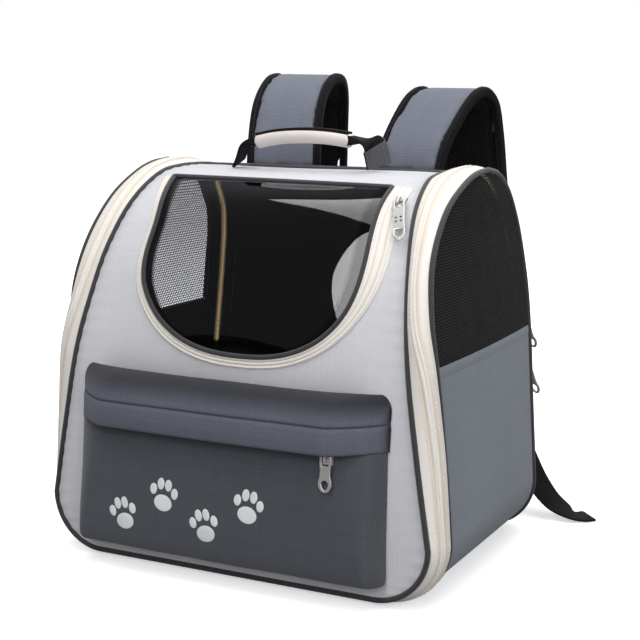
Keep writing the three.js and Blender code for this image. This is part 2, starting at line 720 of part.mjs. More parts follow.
// Front pocket, its zipped top and the hood over it, all standing out from the front panel.
function panelFront(x, z) {
  let low = 0;
  let high = 1;
  for (let k = 0; k < 30; k += 1) {
    const mid = (low + high) / 2;
    if (front.seamCurve.getPoint(mid).z < z) low = mid;
    else high = mid;
  }
  const p = front.seamCurve.getPoint(low);
  return p.y - swellAt(z) * (1 - (x / p.x) ** 2);
}

const endAngles = [90, 60, 35, 15];
function acrossPocket(half, flat, power) {
  const ends = endAngles.map((degrees) => {
    const angle = THREE.MathUtils.degToRad(degrees);
    return { x: flat + (half - flat) * Math.sin(angle) ** (2 / power), share: Math.cos(angle) ** (2 / power) };
  });
  const middle = [1, 0.5, 0].map((t) => ({ x: flat * t, share: 1 }));
  const right = [...ends, ...middle];
  return [...right, ...right.slice(0, -1).reverse().map(({ x, share }) => ({ x: -x, share }))];
}

function pocketGrid(rows, half, flat, shift = 0, power = 2) {
  return rows.map((row) => {
    const { depth, z, trim = 0, flat: rowFlat = flat } = row;
    return acrossPocket(half - trim, rowFlat - trim, power).map(({ x, share }) => {
      const out = pocketClear + (depth - pocketClear) * share;
      return vec(x + shift, panelFront(x + shift, z) - out, z);
    });
  });
}

const pocketCentre = vec(0, -4, 70);
const flapCentre = vec(0, 4, 120);
const offPanel = (p) => p.setY(Math.min(p.y, panelFront(p.x, p.z) - gap));
const pocketPieces = {
  pocket_body: { grid: pocketGrid(pocketRows, pocketHalf, pocketFlat), material: 'slateCloth' },
  pocket_zip: { grid: pocketGrid(pocketZipRows, pocketZipHalf, pocketZipFlat), material: 'blackCloth' },
  pocket_flap: { grid: pocketGrid(flapRows, flapHalf, flapFlat, flapShift, flapPower), material: 'flapCloth' },
};
for (const [name, { grid, material }] of Object.entries(pocketPieces)) {
  const inside = name === 'pocket_flap' ? flapCentre : pocketCentre;
  addPiece(name, wall(grid, clothWall, inside, offPanel), materials[material]);
}

// Grab handle: a moulded grip with webbing down to the top seam on both sides.
const gripCurve = new THREE.CatmullRomCurve3(gripPath.map(pointOf));
const gripPoints = gripCurve.getPoints(8);
addPiece('handle_grip', cordGeometry(gripPoints, gripRadius, false, 10), materials.gripPlastic);
const handleSteps = 6;
const handleSection = flatSection(-handleWebbing.width / 2, handleWebbing.width / 2, handleWebbing.wall);
for (const [side, { knee, foot, acrossX, acrossY }] of Object.entries(handleRuns)) {
  const last = side === 'right' ? gripPoints.length - 1 : 0;
  const away = heading(gripPoints, last, false).multiplyScalar(side === 'right' ? 1 : -1);
  const webStart = gripPoints[last].clone().addScaledVector(away, gap);
  const webKnee = gripPoints[last].clone().addScaledVector(away, knee);
  const webPoints = new THREE.CatmullRomCurve3([webStart, webKnee, pointOf(foot)]).getPoints(handleSteps);
  const webAcross = (i) => vec(0, 1, 0).lerp(vec(acrossX, acrossY, 0), Math.min(1, (1.5 * i) / handleSteps));
  const web = bandGeometry(webPoints, webAcross, handleSection);
  addPiece(`handle_webbing_${side}`, web, materials.greyWebbing);
}

// Shoulder straps: padded middle, bound edges, ladder-lock buckle, webbing to the foot of the back, free end.
const strapRuns = {
  right: strapPath.map(({ rightX, rightY, rightZ }) => vec(rightX, rightY, rightZ)),
  left: strapPath.map(({ x, y, z }) => vec(-x, y, z)),
};
const turnAt = (share) => {
  const place = share * (strapTurns.length - 1);
  const low = Math.min(Math.floor(place), strapTurns.length - 2);
  const degrees = THREE.MathUtils.lerp(strapTurns[low], strapTurns[low + 1], place - low);
  return THREE.MathUtils.degToRad(degrees);
};
const padHalf = strapWidth / 2 - bindingWidth - gap / 2;
const bindingFrom = strapWidth / 2 - bindingWidth + gap / 2;
const padSection = [
  [-padHalf, -strapWall / 2],
  [padHalf, -strapWall / 2],
  [padHalf, strapWall / 2 - padRound.drop],
  [padHalf - padRound.run, strapWall / 2],
  [padRound.run - padHalf, strapWall / 2],
  [-padHalf, strapWall / 2 - padRound.drop],
];
const bindingSection = flatSection(bindingFrom, strapWidth / 2, bindingWall);
const webSection = flatSection(-webbing.width / 2, webbing.width / 2, webbing.wall);
const webCurve = (points) => new THREE.CatmullRomCurve3(points, false, 'centripetal');

function buckleGeometry() {
  const outer = vec(buckle.width / 2, buckle.wall / 2, buckle.height / 2);
  const slot = (buckle.height - 3 * buckle.bar) / 2;
  let frame = block(outer.clone().negate(), outer);
  for (const way of [-1, 1]) {
    const centre = (way * (buckle.bar + slot)) / 2;
    const low = vec(buckle.rail - buckle.width / 2, -buckle.wall, centre - slot / 2);
    const high = vec(buckle.width / 2 - buckle.rail, buckle.wall, centre + slot / 2);
    frame = cut(frame, block(low, high));
  }
  return frame;
}

for (const [side, sign] of [['right', 1], ['left', -1]]) {
  const flip = vec(sign, 1, 1);
  const placed = (row) => pointOf(row).multiply(flip);
  const pad = webCurve(strapRuns[side]).getSpacedPoints(strapSteps);
  const wideAt = (turn) => vec(Math.cos(turn), -sign * Math.sin(turn), 0);
  const across = (i) => wideAt(turnAt(i / strapSteps));
  const wide = wideAt(turnAt(1));
  addPiece(`strap_pad_${side}`, bandGeometry(pad, across, padSection), materials.strapCloth);
  for (const [edge, towards] of [['outer', sign], ['inner', -sign]]) {
    const section = bindingSection.map(([a, b]) => [a * towards, b]);
    addPiece(`strap_binding_${edge}_${side}`, bandGeometry(pad, across, section), materials.blackCloth);
  }

  const along = heading(pad, pad.length - 1, false);
  const level = wide.clone().addScaledVector(along, -wide.dot(along)).normalize();
  const out = along.clone().cross(level);
  const holder = new THREE.Group();
  holder.setRotationFromMatrix(new THREE.Matrix4().makeBasis(level, out, along));
  holder.position.copy(pad.at(-1)).addScaledVector(along, buckle.height / 2 + gap);
  addPiece(`strap_buckle_${side}`, buckleGeometry(), materials.buckle, holder);
  bag.add(holder);

  const bar = pad.at(-1).clone().addScaledVector(along, buckle.height + 4 * gap);
  const apart = (webbing.wall + gap) / 2;
  const outward = out.y > 0 ? apart : -apart;
  const lowerStart = bar.clone().addScaledVector(out, -outward);
  const lower = webCurve([lowerStart, ...lowerWebbing.map(placed)]).getSpacedPoints(lowerSteps);
  const lowerAcross = (i) => level.clone().lerp(vec(1, 0, 0), i / lowerSteps);
  const lowerBand = bandGeometry(lower, lowerAcross, webSection);
  addPiece(`strap_webbing_${side}`, lowerBand, materials.blackCloth);
  const tailStart = bar.clone().addScaledVector(out, outward);
  const tailHang = tailStart.clone().addScaledVector(along, tailDrop).addScaledVector(out, 2 * outward);
  const tail = webCurve([tailStart, tailHang, ...tailPath.map(placed)]).getPoints(tailSteps);
  const tailTurns = tailPath.map((row) => vec(row.acrossX, sign * row.acrossY, sign * row.acrossZ));
  const tailTurn = new THREE.CatmullRomCurve3([level, level, ...tailTurns]);
  const tailAcross = (i) => tailTurn.getPoint(i / tailSteps);
  addPiece(`strap_tail_${side}`, bandGeometry(tail, tailAcross, webSection), materials.blackCloth);
}

// Zip sliders and their hanging pulls, built in a frame of u, v and n.
function sliderGeometry() {
  const low = vec(-slider.halfU, -slider.halfV, slider.foot);
  const body = block(low, vec(slider.halfU, slider.halfV, slider.top));
  const posts = [bridge.upperU, bridge.lowerU].map((u) => block(
    vec(u, -bridge.halfV, slider.top - 1),
    vec(u + bridge.postU, bridge.halfV, bridge.top),
  ));
  const bar = block(
    vec(bridge.upperU, -bridge.halfV, bridge.under),
    vec(bridge.lowerU + bridge.postU, bridge.halfV, bridge.top),
  );
  return join(body, ...posts, bar);
}

function pullGeometry({ length, turn: pullTurn, hang }) {
  const head = pull.axisU - pullBar / 2;
  const foot = head + length;
  const shape = new THREE.Shape();
  shape.moveTo(head, -pull.halfV + 1);
  shape.lineTo(head + 1, -pull.halfV);
  shape.lineTo(pullSlot.end + 1, -pull.halfV);
  shape.lineTo(foot - pull.tailHalfV - 4, -pull.tailHalfV);
  shape.lineTo(foot - 4, -pull.halfV);
  shape.lineTo(foot, -pull.halfV + 2.5);
  shape.lineTo(foot, pull.halfV - 2.5);
  shape.lineTo(foot - 4, pull.halfV);
  shape.lineTo(foot - pull.tailHalfV - 4, pull.tailHalfV);
  shape.lineTo(pullSlot.end + 1, pull.halfV);
  shape.lineTo(head + 1, pull.halfV);
  shape.lineTo(head, pull.halfV - 1);
  const slot = new THREE.Path();
  slot.moveTo(head + pullBar, -pullSlot.halfV);
  slot.lineTo(head + pullBar, pullSlot.halfV);
  slot.lineTo(pullSlot.end, pullSlot.halfV);
  slot.lineTo(pullSlot.end, -pullSlot.halfV);
  const eye = new THREE.Path();
  eye.absarc(foot - pullRing.fromEnd, 0, pullRing.radius, 0, 2 * Math.PI, true);
  shape.holes.push(slot, eye);
  const depth = pull.wall;
  const plate = new THREE.ExtrudeGeometry(shape, { depth, bevelEnabled: false, curveSegments: 4 });
  plate.translate(-pull.axisU, 0, -pull.wall / 2);
  plate.rotateY(THREE.MathUtils.degToRad(hang)).rotateZ(THREE.MathUtils.degToRad(pullTurn));
  return plate.translate(pull.axisU, 0, pull.axisN);
}

function addZipEnd(name, place, down, out, hung = hangingPull) {
  const holder = new THREE.Group();
  const u = down.clone().normalize();
  const n = out.clone().addScaledVector(u, -out.dot(u)).normalize();
  const v = n.clone().cross(u);
  holder.setRotationFromMatrix(new THREE.Matrix4().makeBasis(u, v, n));
  holder.position.copy(place);
  addPiece(`${name}_slider`, sliderGeometry(), materials.zipMetal, holder);
  addPiece(`${name}_pull`, pullGeometry(hung), materials.zipMetal, holder);
  bag.add(holder);
}

const windowZipPoint = (down, lift) => panelPoint(windowSlider.x, down, lift);
const windowLow = windowZipPoint(windowSlider.down + windowSlider.below, 0);
const windowHigh = windowZipPoint(windowSlider.down - windowSlider.above, 0);
const windowPlace = windowZipPoint(windowSlider.down, windowSlider.lift);
const windowOut = windowPlace.clone().sub(windowZipPoint(windowSlider.down, 0));
addZipEnd('window_zip', windowPlace, windowLow.sub(windowHigh), windowOut, windowPull);

const pocketFaceY = panelFront(pocketSlider.x, pocketSlider.z) - pocketRows[0].depth;
const pocketFace = vec(pocketSlider.x, pocketFaceY, pocketSlider.z);
const pocketSlope = vec(0, pocketRows[0].depth - pocketRows[1].depth, pocketRows[1].z - pocketRows[0].z);
addZipEnd('pocket_zip', pocketFace, pocketSlope, vec(0, -1, 0));

// The gusset's sliders meet at the back edge of each side, one above the other.
const ringAtBack = (step) => {
  const index = ring.length - 1 - step;
  const low = Math.floor(index);
  const share = index - low;
  const a = gussetPoint(ring[low], 0.5, zipProud);
  const b = gussetPoint(ring[low + 1], 0.5, zipProud);
  return { place: a.clone().lerp(b, share), way: b.clone().sub(a), out: ring[low].out.clone() };
};
for (const [which, step] of Object.entries(gussetSliderSteps)) {
  const { place, way, out } = ringAtBack(step);
  addZipEnd(`gusset_zip_${which}_right`, place, way, out, gussetPull);
  addZipEnd(`gusset_zip_${which}_left`, mirrored(place), mirrored(way), mirrored(out), gussetPull);
}

const petCarrier = new THREE.Group();
petCarrier.add(bag);

export default petCarrier;
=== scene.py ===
import math
from functools import partial

import bmesh
import bpy
import numpy as np
from mathutils import Matrix, Vector


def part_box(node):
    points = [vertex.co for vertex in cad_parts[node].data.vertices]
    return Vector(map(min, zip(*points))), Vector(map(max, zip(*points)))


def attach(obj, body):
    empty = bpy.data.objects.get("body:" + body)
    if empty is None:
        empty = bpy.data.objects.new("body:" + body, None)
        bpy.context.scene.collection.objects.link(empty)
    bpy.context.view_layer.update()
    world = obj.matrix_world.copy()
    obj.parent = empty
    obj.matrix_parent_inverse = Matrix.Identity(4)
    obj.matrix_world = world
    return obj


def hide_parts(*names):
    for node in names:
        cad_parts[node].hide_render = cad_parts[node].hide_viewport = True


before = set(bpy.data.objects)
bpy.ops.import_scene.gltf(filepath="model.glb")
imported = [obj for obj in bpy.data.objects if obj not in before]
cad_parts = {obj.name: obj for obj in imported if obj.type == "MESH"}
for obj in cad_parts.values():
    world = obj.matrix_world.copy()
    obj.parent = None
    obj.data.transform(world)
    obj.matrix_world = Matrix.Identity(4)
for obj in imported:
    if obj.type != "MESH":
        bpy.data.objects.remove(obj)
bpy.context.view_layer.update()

scene = bpy.context.scene
bagBody = "bag"
mm = 0.001
fullTurn = 2 * math.pi


def addObject(name, data):
    item = bpy.data.objects.new(name, data)
    scene.collection.objects.link(item)
    return item


# viewpoint of the photograph
cameraView = {"lens": 79.12, "sensor": 36.0, "clip": 0.02, "yaw": 27.05, "pitch": 10.16,
              "place": (0.51859, -0.98246, 0.37914)}


def makeCamera(view):
    a, e = math.radians(view["yaw"]), math.radians(view["pitch"])
    back = Vector((math.sin(a) * math.cos(e), -math.cos(a) * math.cos(e), math.sin(e)))
    right = Vector((math.cos(a), math.sin(a), 0))
    data = bpy.data.cameras.new("photoCamera")
    data.lens, data.sensor_width, data.clip_start = view["lens"], view["sensor"], view["clip"]
    turned = Matrix((right, back.cross(right), back)).transposed().to_4x4()
    scene.camera = addObject("photoCamera", data)
    scene.camera.matrix_world = Matrix.Translation(Vector(view["place"])) @ turned


makeCamera(cameraView)
print("camera set")

# sizes below are millimetres in the bag's own axes: y from the foot of the front panel, z from the floor
frameMiddle = (0, 116, 0)
curveSteps, seamSteps = 500, 800
tiny, closest = 1e-9, 1e-4


def toFrame(points):
    return (np.array(points, float) - frameMiddle) * mm


def smooth(v):
    v = np.clip(v, 0, 1)
    return v * v * (3 - 2 * v)


def bell(v):
    return np.exp(-v**2)


def blend(a, b, t):
    return a * (1 - t) + b * t


def unit(v):
    return v / np.maximum(np.linalg.norm(v, axis=-1, keepdims=True), tiny)


# smooth curve through points, t from 0 to 1
def splineAt(points, t):
    p = np.asarray(points, float)
    ends = np.vstack([2 * p[0] - p[1], p, 2 * p[-1] - p[-2]])
    x = np.clip(t, 0, 1) * (len(p) - 1)
    i = np.minimum(x.astype(int), len(p) - 2)
    w = (x - i)[:, None]
    p0, p1, p2, p3 = (ends[i + k] for k in range(4))
    d0, d1, d2 = (np.maximum(np.linalg.norm(b - a, axis=1), closest)[:, None] ** 0.5
                  for a, b in ((p0, p1), (p1, p2), (p2, p3)))
    t1 = ((p1 - p0) / d0 - (p2 - p0) / (d0 + d1) + (p2 - p1) / d1) * d1
    t2 = ((p2 - p1) / d1 - (p3 - p1) / (d1 + d2) + (p3 - p2) / d2) * d1
    square, cube = -3 * p1 + 3 * p2 - 2 * t1 - t2, 2 * p1 - 2 * p2 + t1 + t2
    return p1 + t1 * w + square * w**2 + cube * w**3


def runLength(points):
    return np.concatenate([[0], np.cumsum(np.linalg.norm(np.diff(points, axis=0), axis=1))])


def lookUp(at, run, rows):
    return np.stack([np.interp(at, run, column) for column in rows.T], -1)


# evenly spaced points along a polyline
def evenly(points, count):
    run = runLength(points)
    return lookUp(np.linspace(0, run[-1], count), run, points)


def smoothRun(points, count):
    return evenly(splineAt(points, np.linspace(0, 1, curveSteps)), count)


# body: rows of the panels' edge seams (half, y, z), the sides' edges (x, y, z) and the bulge between them
bagShape = {
    "centre": (0, 116, 140), "seamCorner": 42, "edgeCorner": 44, "seamFoot": 5,
    "panelSwell": 3.5, "sideSwell": 3, "swellFoot": 80, "swellHead": 300, "swellFade": 45,
    "front": {
        "foot": {"half": 160, "y": 1, "edgeX": 164.5, "edgeY": 31, "bulge": 6, "footBulge": 1.2},
        "rows": [(150.5, 3, 105, 160, 30, 105, 9.5), (141, 8, 165, 155.5, 24, 169, 11),
                 (134.5, 18.5, 204, 152, 21, 207, 7.5), (129, 34, 240, 147, 33, 244, 5),
                 (122, 60, 275, 144.2, 63, 276.5, 4), (117, 94, 295.5, 144, 96, 293.5, 4),
                 (114.5, 122, 299.5, 144.2, 121, 300.8, 4)],
    },
    "back": {
        "foot": {"half": 146, "y": 229, "edgeX": 164.5, "edgeY": 217, "bulge": 3, "footBulge": 0.2},
        "rows": [(138, 231, 105, 160, 219, 105, 5), (131.5, 232, 165, 155.5, 221, 169, 5),
                 (127, 231, 205, 152, 221, 205, 5), (123, 228, 238, 147.5, 218.5, 238, 3),
                 (119, 220, 265, 145, 212, 260, 3), (116, 202, 285.5, 144, 195, 283, 3),
                 (114, 174, 297, 144.2, 171, 298, 3)],
    },
    "top": (113, 147, 299.5, 144.4, 147, 303, 4),
}
bagCentre = np.array(bagShape["centre"], float)
cornerSteps, lastStep = 4, 20
mirrorX = np.array([-1.0, 1.0, 1.0])
bothSides = (("right", np.ones(3)), ("left", mirrorX))


def sideCurves(shape):
    foot, rows = shape["foot"], np.array(shape["rows"] + [bagShape["top"]], float)
    seamStart = (foot["half"], foot["y"], bagShape["seamFoot"] + bagShape["seamCorner"])
    edgeStart = (foot["edgeX"], foot["edgeY"], bagShape["edgeCorner"])
    return {"foot": foot, "seam": np.vstack([seamStart, rows[:, 0:3]]), "edge": np.vstack([edgeStart, rows[:, 3:6]]),
            "bulge": np.concatenate([[foot["bulge"]], rows[:, 6]])}


curves = {side: sideCurves(bagShape[side]) for side in ("front", "back")}


# seam, edge, bulge and way in at steps up the side: the rounded corner first, then the rows
def stationsAt(side, steps):
    c, foot = curves[side], curves[side]["foot"]
    seamIn, edgeIn = bagShape["seamCorner"], bagShape["edgeCorner"]
    angle = np.radians(np.clip(steps / cornerSteps, 0, 1) * 90)
    out, down = np.sin(angle), np.cos(angle)
    ones = np.ones_like(out)
    seam = np.stack([foot["half"] - seamIn * (1 - out), foot["y"] * ones,
                     bagShape["seamFoot"] + seamIn * (1 - down)], 1)
    edge = np.stack([foot["edgeX"] - edgeIn * (1 - out), foot["edgeY"] * ones, edgeIn * (1 - down)], 1)
    bulge = blend(foot["footBulge"], foot["bulge"], out)
    inset = np.stack([-out, 0 * out, down], 1)
    upper = steps > cornerSteps
    share = np.clip((steps[upper] - cornerSteps) / (lastStep - cornerSteps), 0, 1)
    seam[upper], edge[upper] = splineAt(c["seam"], share), splineAt(c["edge"], share)
    bulge[upper] = np.interp(share, np.linspace(0, 1, len(c["bulge"])), c["bulge"])
    inset[upper] = (-1, 0, 0)
    return {"seam": seam, "edge": edge, "bulge": bulge, "inset": inset}


def swellAt(z):
    s = bagShape
    return s["panelSwell"] * smooth(z / s["swellFoot"]) * smooth((s["swellHead"] - z) / s["swellFade"])


# a panel's face from seam to seam, rows bottom to top
def panelGrid(side, facing, rows, columns, seamSet):
    line = stationsAt(side, np.linspace(0, lastStep, rows))
    seam, way = line["seam"], np.gradient(line["seam"], axis=0)
    normal = unit(np.stack([np.zeros(rows), facing * way[:, 2], -facing * way[:, 1]], 1))
    t = np.linspace(-1, 1, columns)[None, :, None]
    grid = np.repeat((seam + line["inset"] * seamSet)[:, None], columns, axis=1)
    grid[:, :, 0:1] *= t
    return grid + normal[:, None] * (swellAt(seam[:, 2])[:, None, None] * (1 - t**2))


frontSeamRun = splineAt(curves["front"]["seam"], np.linspace(0, 1, seamSteps))
frontSeamAlong = runLength(frontSeamRun)
frontSeamWay = np.gradient(frontSeamRun, axis=0)


# points on the front panel: x across, down along it from the top seam, lift out of its face
def panelPoint(x, down, lift):
    at = frontSeamAlong[-1] - down
    p, way = (lookUp(at, frontSeamAlong, rows) for rows in (frontSeamRun, frontSeamWay))
    normal = unit(np.stack([np.zeros_like(x), -way[..., 2], way[..., 1]], -1))
    swell = swellAt(p[..., 2]) * (1 - (x / p[..., 0]) ** 2)
    return np.stack([x, p[..., 1], p[..., 2]], -1) + normal * (swell + lift)[..., None]


def panelFront(x, z):
    seamX, seamY = lookUp(z, frontSeamRun[:, 2], frontSeamRun[:, :2])
    return seamY - swellAt(z) * (1 - (x / seamX) ** 2)


# ring of stations up the front, over the top and down the back, on the right side
def gussetRing(perStep):
    steps = np.linspace(0, lastStep, lastStep * perStep + 1)
    frontLine, backLine = stationsAt("front", steps), stationsAt("back", steps[:-1][::-1])
    ring = {k: np.concatenate([frontLine[k], backLine[k]]) for k in ("seam", "edge", "bulge")}
    for _ in range(perStep):  # evens out the bulge from row to row
        ring["bulge"][1:-1] = (ring["bulge"][:-2] + 2 * ring["bulge"][1:-1] + ring["bulge"][2:]) / 4
    chord = ring["edge"] - ring["seam"]
    out = unit(np.cross(np.gradient(ring["seam"] + ring["edge"], axis=0), chord))
    out[np.sum(out * (ring["seam"] - bagCentre), axis=1) < 0] *= -1
    ring.update(out=out, chord=unit(chord), width=np.linalg.norm(chord, axis=1))
    return ring


# share from the seam, 0, to the side's edge, 1: a row of shares for each station
def gussetPoint(ring, share, lift):
    bulge, width = ring["bulge"][:, None], ring["width"][:, None]
    out, chord, seam, edge = (ring[k][:, None] for k in ("out", "chord", "seam", "edge"))
    slope = 4 * bulge * (1 - 2 * share) / width
    height = 4 * bulge * share * (1 - share)
    normal = unit(out - chord * slope[..., None])
    lift = np.broadcast_to(lift, share.shape)
    return blend(seam, edge, share[..., None]) + out * height[..., None] + normal * lift[..., None]


# mesh helpers
def gridNormals(grid, inside):
    normal = unit(np.cross(np.gradient(grid, axis=1), np.gradient(grid, axis=0)))
    return (normal, False) if np.sum(normal * (grid - inside)) > 0 else (-normal, True)


def lifted(grid, lift, inside=bagCentre):
    return grid + gridNormals(grid, inside)[0] * lift[..., None]


def gridQuads(rows, columns):
    index = np.arange(rows * columns).reshape(rows, columns)
    return np.stack([index[:-1, :-1], index[:-1, 1:], index[1:, 1:], index[1:, :-1]], -1)


def quadArea(points, quads):
    p = points[quads]
    halves = [np.linalg.norm(np.cross(p[:, k] - p[:, 0], p[:, k + 1] - p[:, 0]), axis=1) for k in (1, 2)]
    return float(np.sum(halves) / 2) * mm**2


def readAll(items, key):
    values = np.zeros(len(items) * 3)
    items.foreach_get(key, values)
    return values.reshape(-1, 3)


def setCut(mesh, uv):
    loops = np.zeros(len(mesh.loops), int)
    mesh.loops.foreach_get("vertex_index", loops)
    mesh.uv_layers.new(name="cut").data.foreach_set("uv", uv[loops].ravel())


def shadeSmooth(mesh, sharpAngle):
    mesh.shade_smooth()
    mesh.set_sharp_from_angle(angle=math.radians(sharpAngle))


def plainMesh(name, points, faces, uv=None, marks=None):
    mesh = bpy.data.meshes.new(name)
    mesh.from_pydata(np.asarray(points, float).tolist(), [], [[int(i) for i in face] for face in faces])
    if uv is not None:
        setCut(mesh, uv)
    if marks is not None:
        mesh.attributes.new("edge", "FLOAT", "POINT").data.foreach_set("value", marks)
    shadeSmooth(mesh, 50)
    mesh.validate()
    return mesh


def addPiece(name, mesh, materials, node=None, body=bagBody):
    piece = addObject(name, mesh)
    for material in materials:
        if material.name not in mesh.materials:
            mesh.materials.append(material)
    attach(piece, body)
    if node:
        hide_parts(node)
    return piece


# a sheet with a wall: the grid is its outer face, keep says which of its cells are there, edge marks its points
def addSheet(name, grid, wall, materials, node, inside=bagCentre, keep=None, edge=0.0):
    rows, columns = grid.shape[:2]
    count = rows * columns
    normal, flip = gridNormals(grid, inside)
    quads = gridQuads(rows, columns)[..., ::-1] if flip else gridQuads(rows, columns)
    quads = quads.reshape(-1, 4) if keep is None else quads[keep]
    pairs = np.stack([quads, np.roll(quads, -1, axis=1)], -1).reshape(-1, 2)
    lone = ~np.isin(pairs @ (count, 1), pairs @ (1, count))
    a, b = pairs[lone].T
    faces = np.vstack([quads, quads[:, ::-1] + count, np.stack([b, a, a + count, b + count], 1)])
    points = np.concatenate([grid, grid - normal * wall]).reshape(-1, 3)
    across, upward = (np.cumsum(np.linalg.norm(np.diff(grid, axis=k), axis=2), axis=k) for k in (1, 0))
    u, v = np.pad(across, ((0, 0), (1, 0))), np.pad(upward, ((1, 0), (0, 0)))
    uv = np.stack([u - u[:, columns // 2, None], v], -1).reshape(-1, 2) * mm
    marks = np.broadcast_to(edge, (rows, columns)).ravel()
    used = np.unique(faces)
    renumber = np.full(2 * count, -1)
    renumber[used] = np.arange(len(used))
    mesh = plainMesh(name, toFrame(points[used]), renumber[faces], uv[used % count], marks[used % count])
    inner = np.zeros(len(mesh.polygons), int)
    inner[len(quads):2 * len(quads)] = 1
    mesh.polygons.foreach_set("material_index", inner)
    return addPiece(name, mesh, materials, node), quadArea(points, quads)


def outward(mesh):
    shell = bmesh.new()
    shell.from_mesh(mesh)
    bmesh.ops.recalc_face_normals(shell, faces=shell.faces)
    shell.to_mesh(mesh)
    shell.free()
    return mesh


# a body through rings of points, with closed ends
def loftMesh(name, rings):
    count, around = rings.shape[:2]
    index = np.arange(count * around).reshape(count, around)
    turned = np.roll(index, -1, axis=1)
    quads = np.stack([index[:-1], turned[:-1], turned[1:], index[1:]], -1).reshape(-1, 4)
    u = np.pad(np.cumsum(np.linalg.norm(np.diff(rings, axis=1), axis=2), axis=1), ((0, 0), (1, 0)))
    uv = np.stack([u.ravel(), np.repeat(runLength(rings.mean(axis=1)), around)], 1) * mm
    return outward(plainMesh(name, toFrame(rings.reshape(-1, 3)), [*quads, index[0][::-1], index[-1]], uv))


def addLoft(name, rings, materials, node=None):
    return addPiece(name, loftMesh(name, rings), materials, node)


def bandAxes(points, across):
    along = unit(np.gradient(points, axis=0))
    wide = unit(across - along * np.sum(across * along, axis=1, keepdims=True))
    return along, wide, np.cross(wide, along)


# a band along a path: section pairs run across its width and through its thickness
def bandRings(points, across, section):
    _, wide, thick = bandAxes(points, across)
    a, b = np.asarray(section, float).T[:, None, :, None]
    return points[:, None] + wide[:, None] * a + thick[:, None] * b


# section with rounded corners, half sizes from its middle, which may be set off across
def roundedSection(half, rise, radius, steps, middle=0.0):
    x, y = half - radius, rise - radius
    corners = [(x, -y, -90), (x, y, 0), (-x, y, 90), (-x, -y, 180)]
    return np.array([(middle + a + radius * math.cos(t), b + radius * math.sin(t)) for a, b, start in corners
                     for t in np.radians(np.linspace(start, start + 90, steps))])


# node helpers
socketKinds = {"f": "NodeSocketFloat", "i": "NodeSocketInt", "v": "NodeSocketVector", "m": "NodeSocketMaterial",
               "g": "NodeSocketGeometry"}


def newGroup(name, kind, inputs, outputs):
    tree = bpy.data.node_groups.new(name, kind)
    for way, sockets in (("INPUT", inputs), ("OUTPUT", outputs)):
        for label, letter in sockets.items():
            tree.interface.new_socket(name=label, in_out=way, socket_type=socketKinds[letter])
    return tree, tree.nodes.new("NodeGroupInput").outputs, tree.nodes.new("NodeGroupOutput")


# sets a node's inputs by name or number, with a link where the value is a socket
def wire(tree, node, values):
    for key, value in values.items():
        if isinstance(value, bpy.types.NodeSocket):
            tree.links.new(value, node.inputs[key])
        else:
            node.inputs[key].default_value = value
    return node.outputs


def addNode(tree, kind, values, **settings):
    node = tree.nodes.new(kind)
    for key, value in settings.items():
        setattr(node, key, value)
    return wire(tree, node, values)


def sums(tree, operation, *values):
    return addNode(tree, "ShaderNodeMath", dict(enumerate(values)), operation=operation)[0]


def mixedValue(tree, share, a, b):
    return addNode(tree, "ShaderNodeMix", {0: share, 2: a, 3: b}, data_type="FLOAT")[0]


def mixedColour(tree, share, a, b):
    return addNode(tree, "ShaderNodeMix", {0: share, 6: a, 7: b}, data_type="RGBA")[2]


def noise(tree, vector, scale, detail, rough):
    values = {"Vector": vector, "Scale": scale, "Detail": detail, "Roughness": rough}
    return addNode(tree, "ShaderNodeTexNoise", values)[0]


# shader groups
weaveLook = {"under": 0.45, "over": 0.55, "wefts": 71.3}
ribLook = {"slant": 1.6, "groovePower": 4.0}


def makeWeave(p):
    tree, given, result = newGroup("plainWeave", "ShaderNodeTree", {"Vector": "v", "Across": "f", "Along": "f"},
                                   {"Height": "f", "Yarn": "f"})
    do = partial(sums, tree)
    place = addNode(tree, "ShaderNodeSeparateXYZ", {0: given["Vector"]})
    waves, cells, yarns = [], [], []
    for axis, label, shift in ((0, "Across", 0.0), (1, "Along", p["wefts"])):
        count = do("MULTIPLY", place[axis], given[label])
        waves.append(do("ABSOLUTE", do("SINE", do("MULTIPLY", count, math.pi))))
        cells.append(do("FLOOR", count))
        chance = {"W": do("ADD", cells[-1], shift)}
        yarns.append(addNode(tree, "ShaderNodeTexWhiteNoise", chance, noise_dimensions="1D")["Value"])
    over = do("FLOORED_MODULO", do("ADD", *cells), 2.0)
    threads = [do("MULTIPLY", a, do("MULTIPLY_ADD", b, p["under"], p["over"])) for a, b in (waves, waves[::-1])]
    wire(tree, result, {"Height": mixedValue(tree, over, *threads), "Yarn": mixedValue(tree, over, *yarns)})
    return tree


def makeRib(p):
    tree, given, result = newGroup("webbingRib", "ShaderNodeTree", {"Vector": "v", "Ribs": "f", "Wales": "f"},
                                   {"Height": "f"})
    do = partial(sums, tree)
    place = addNode(tree, "ShaderNodeSeparateXYZ", {0: given["Vector"]})
    wale = do("PINGPONG", do("MULTIPLY", place[0], given["Wales"]), 0.5)
    slant = do("MULTIPLY_ADD", place[1], given["Ribs"], do("MULTIPLY", wale, p["slant"]))
    rib = do("ABSOLUTE", do("SINE", do("MULTIPLY", slant, math.pi)))
    groove = do("POWER", do("SUBTRACT", 1.0, do("MULTIPLY", wale, 2.0)), p["groovePower"])
    wire(tree, result, {"Height": do("SUBTRACT", rib, groove)})
    return tree


# two noises, the first at the given scale: each has its name, scale, detail and roughness
def makeNoises(name, first, second):
    tree, given, result = newGroup(name, "ShaderNodeTree", {"Vector": "v", "Scale": "f"},
                                   {first[0]: "f", second[0]: "f"})
    for label, scale, detail, rough in (first, second):
        wire(tree, result, {label: noise(tree, given["Vector"], scale or given["Scale"], detail, rough)})
    return tree


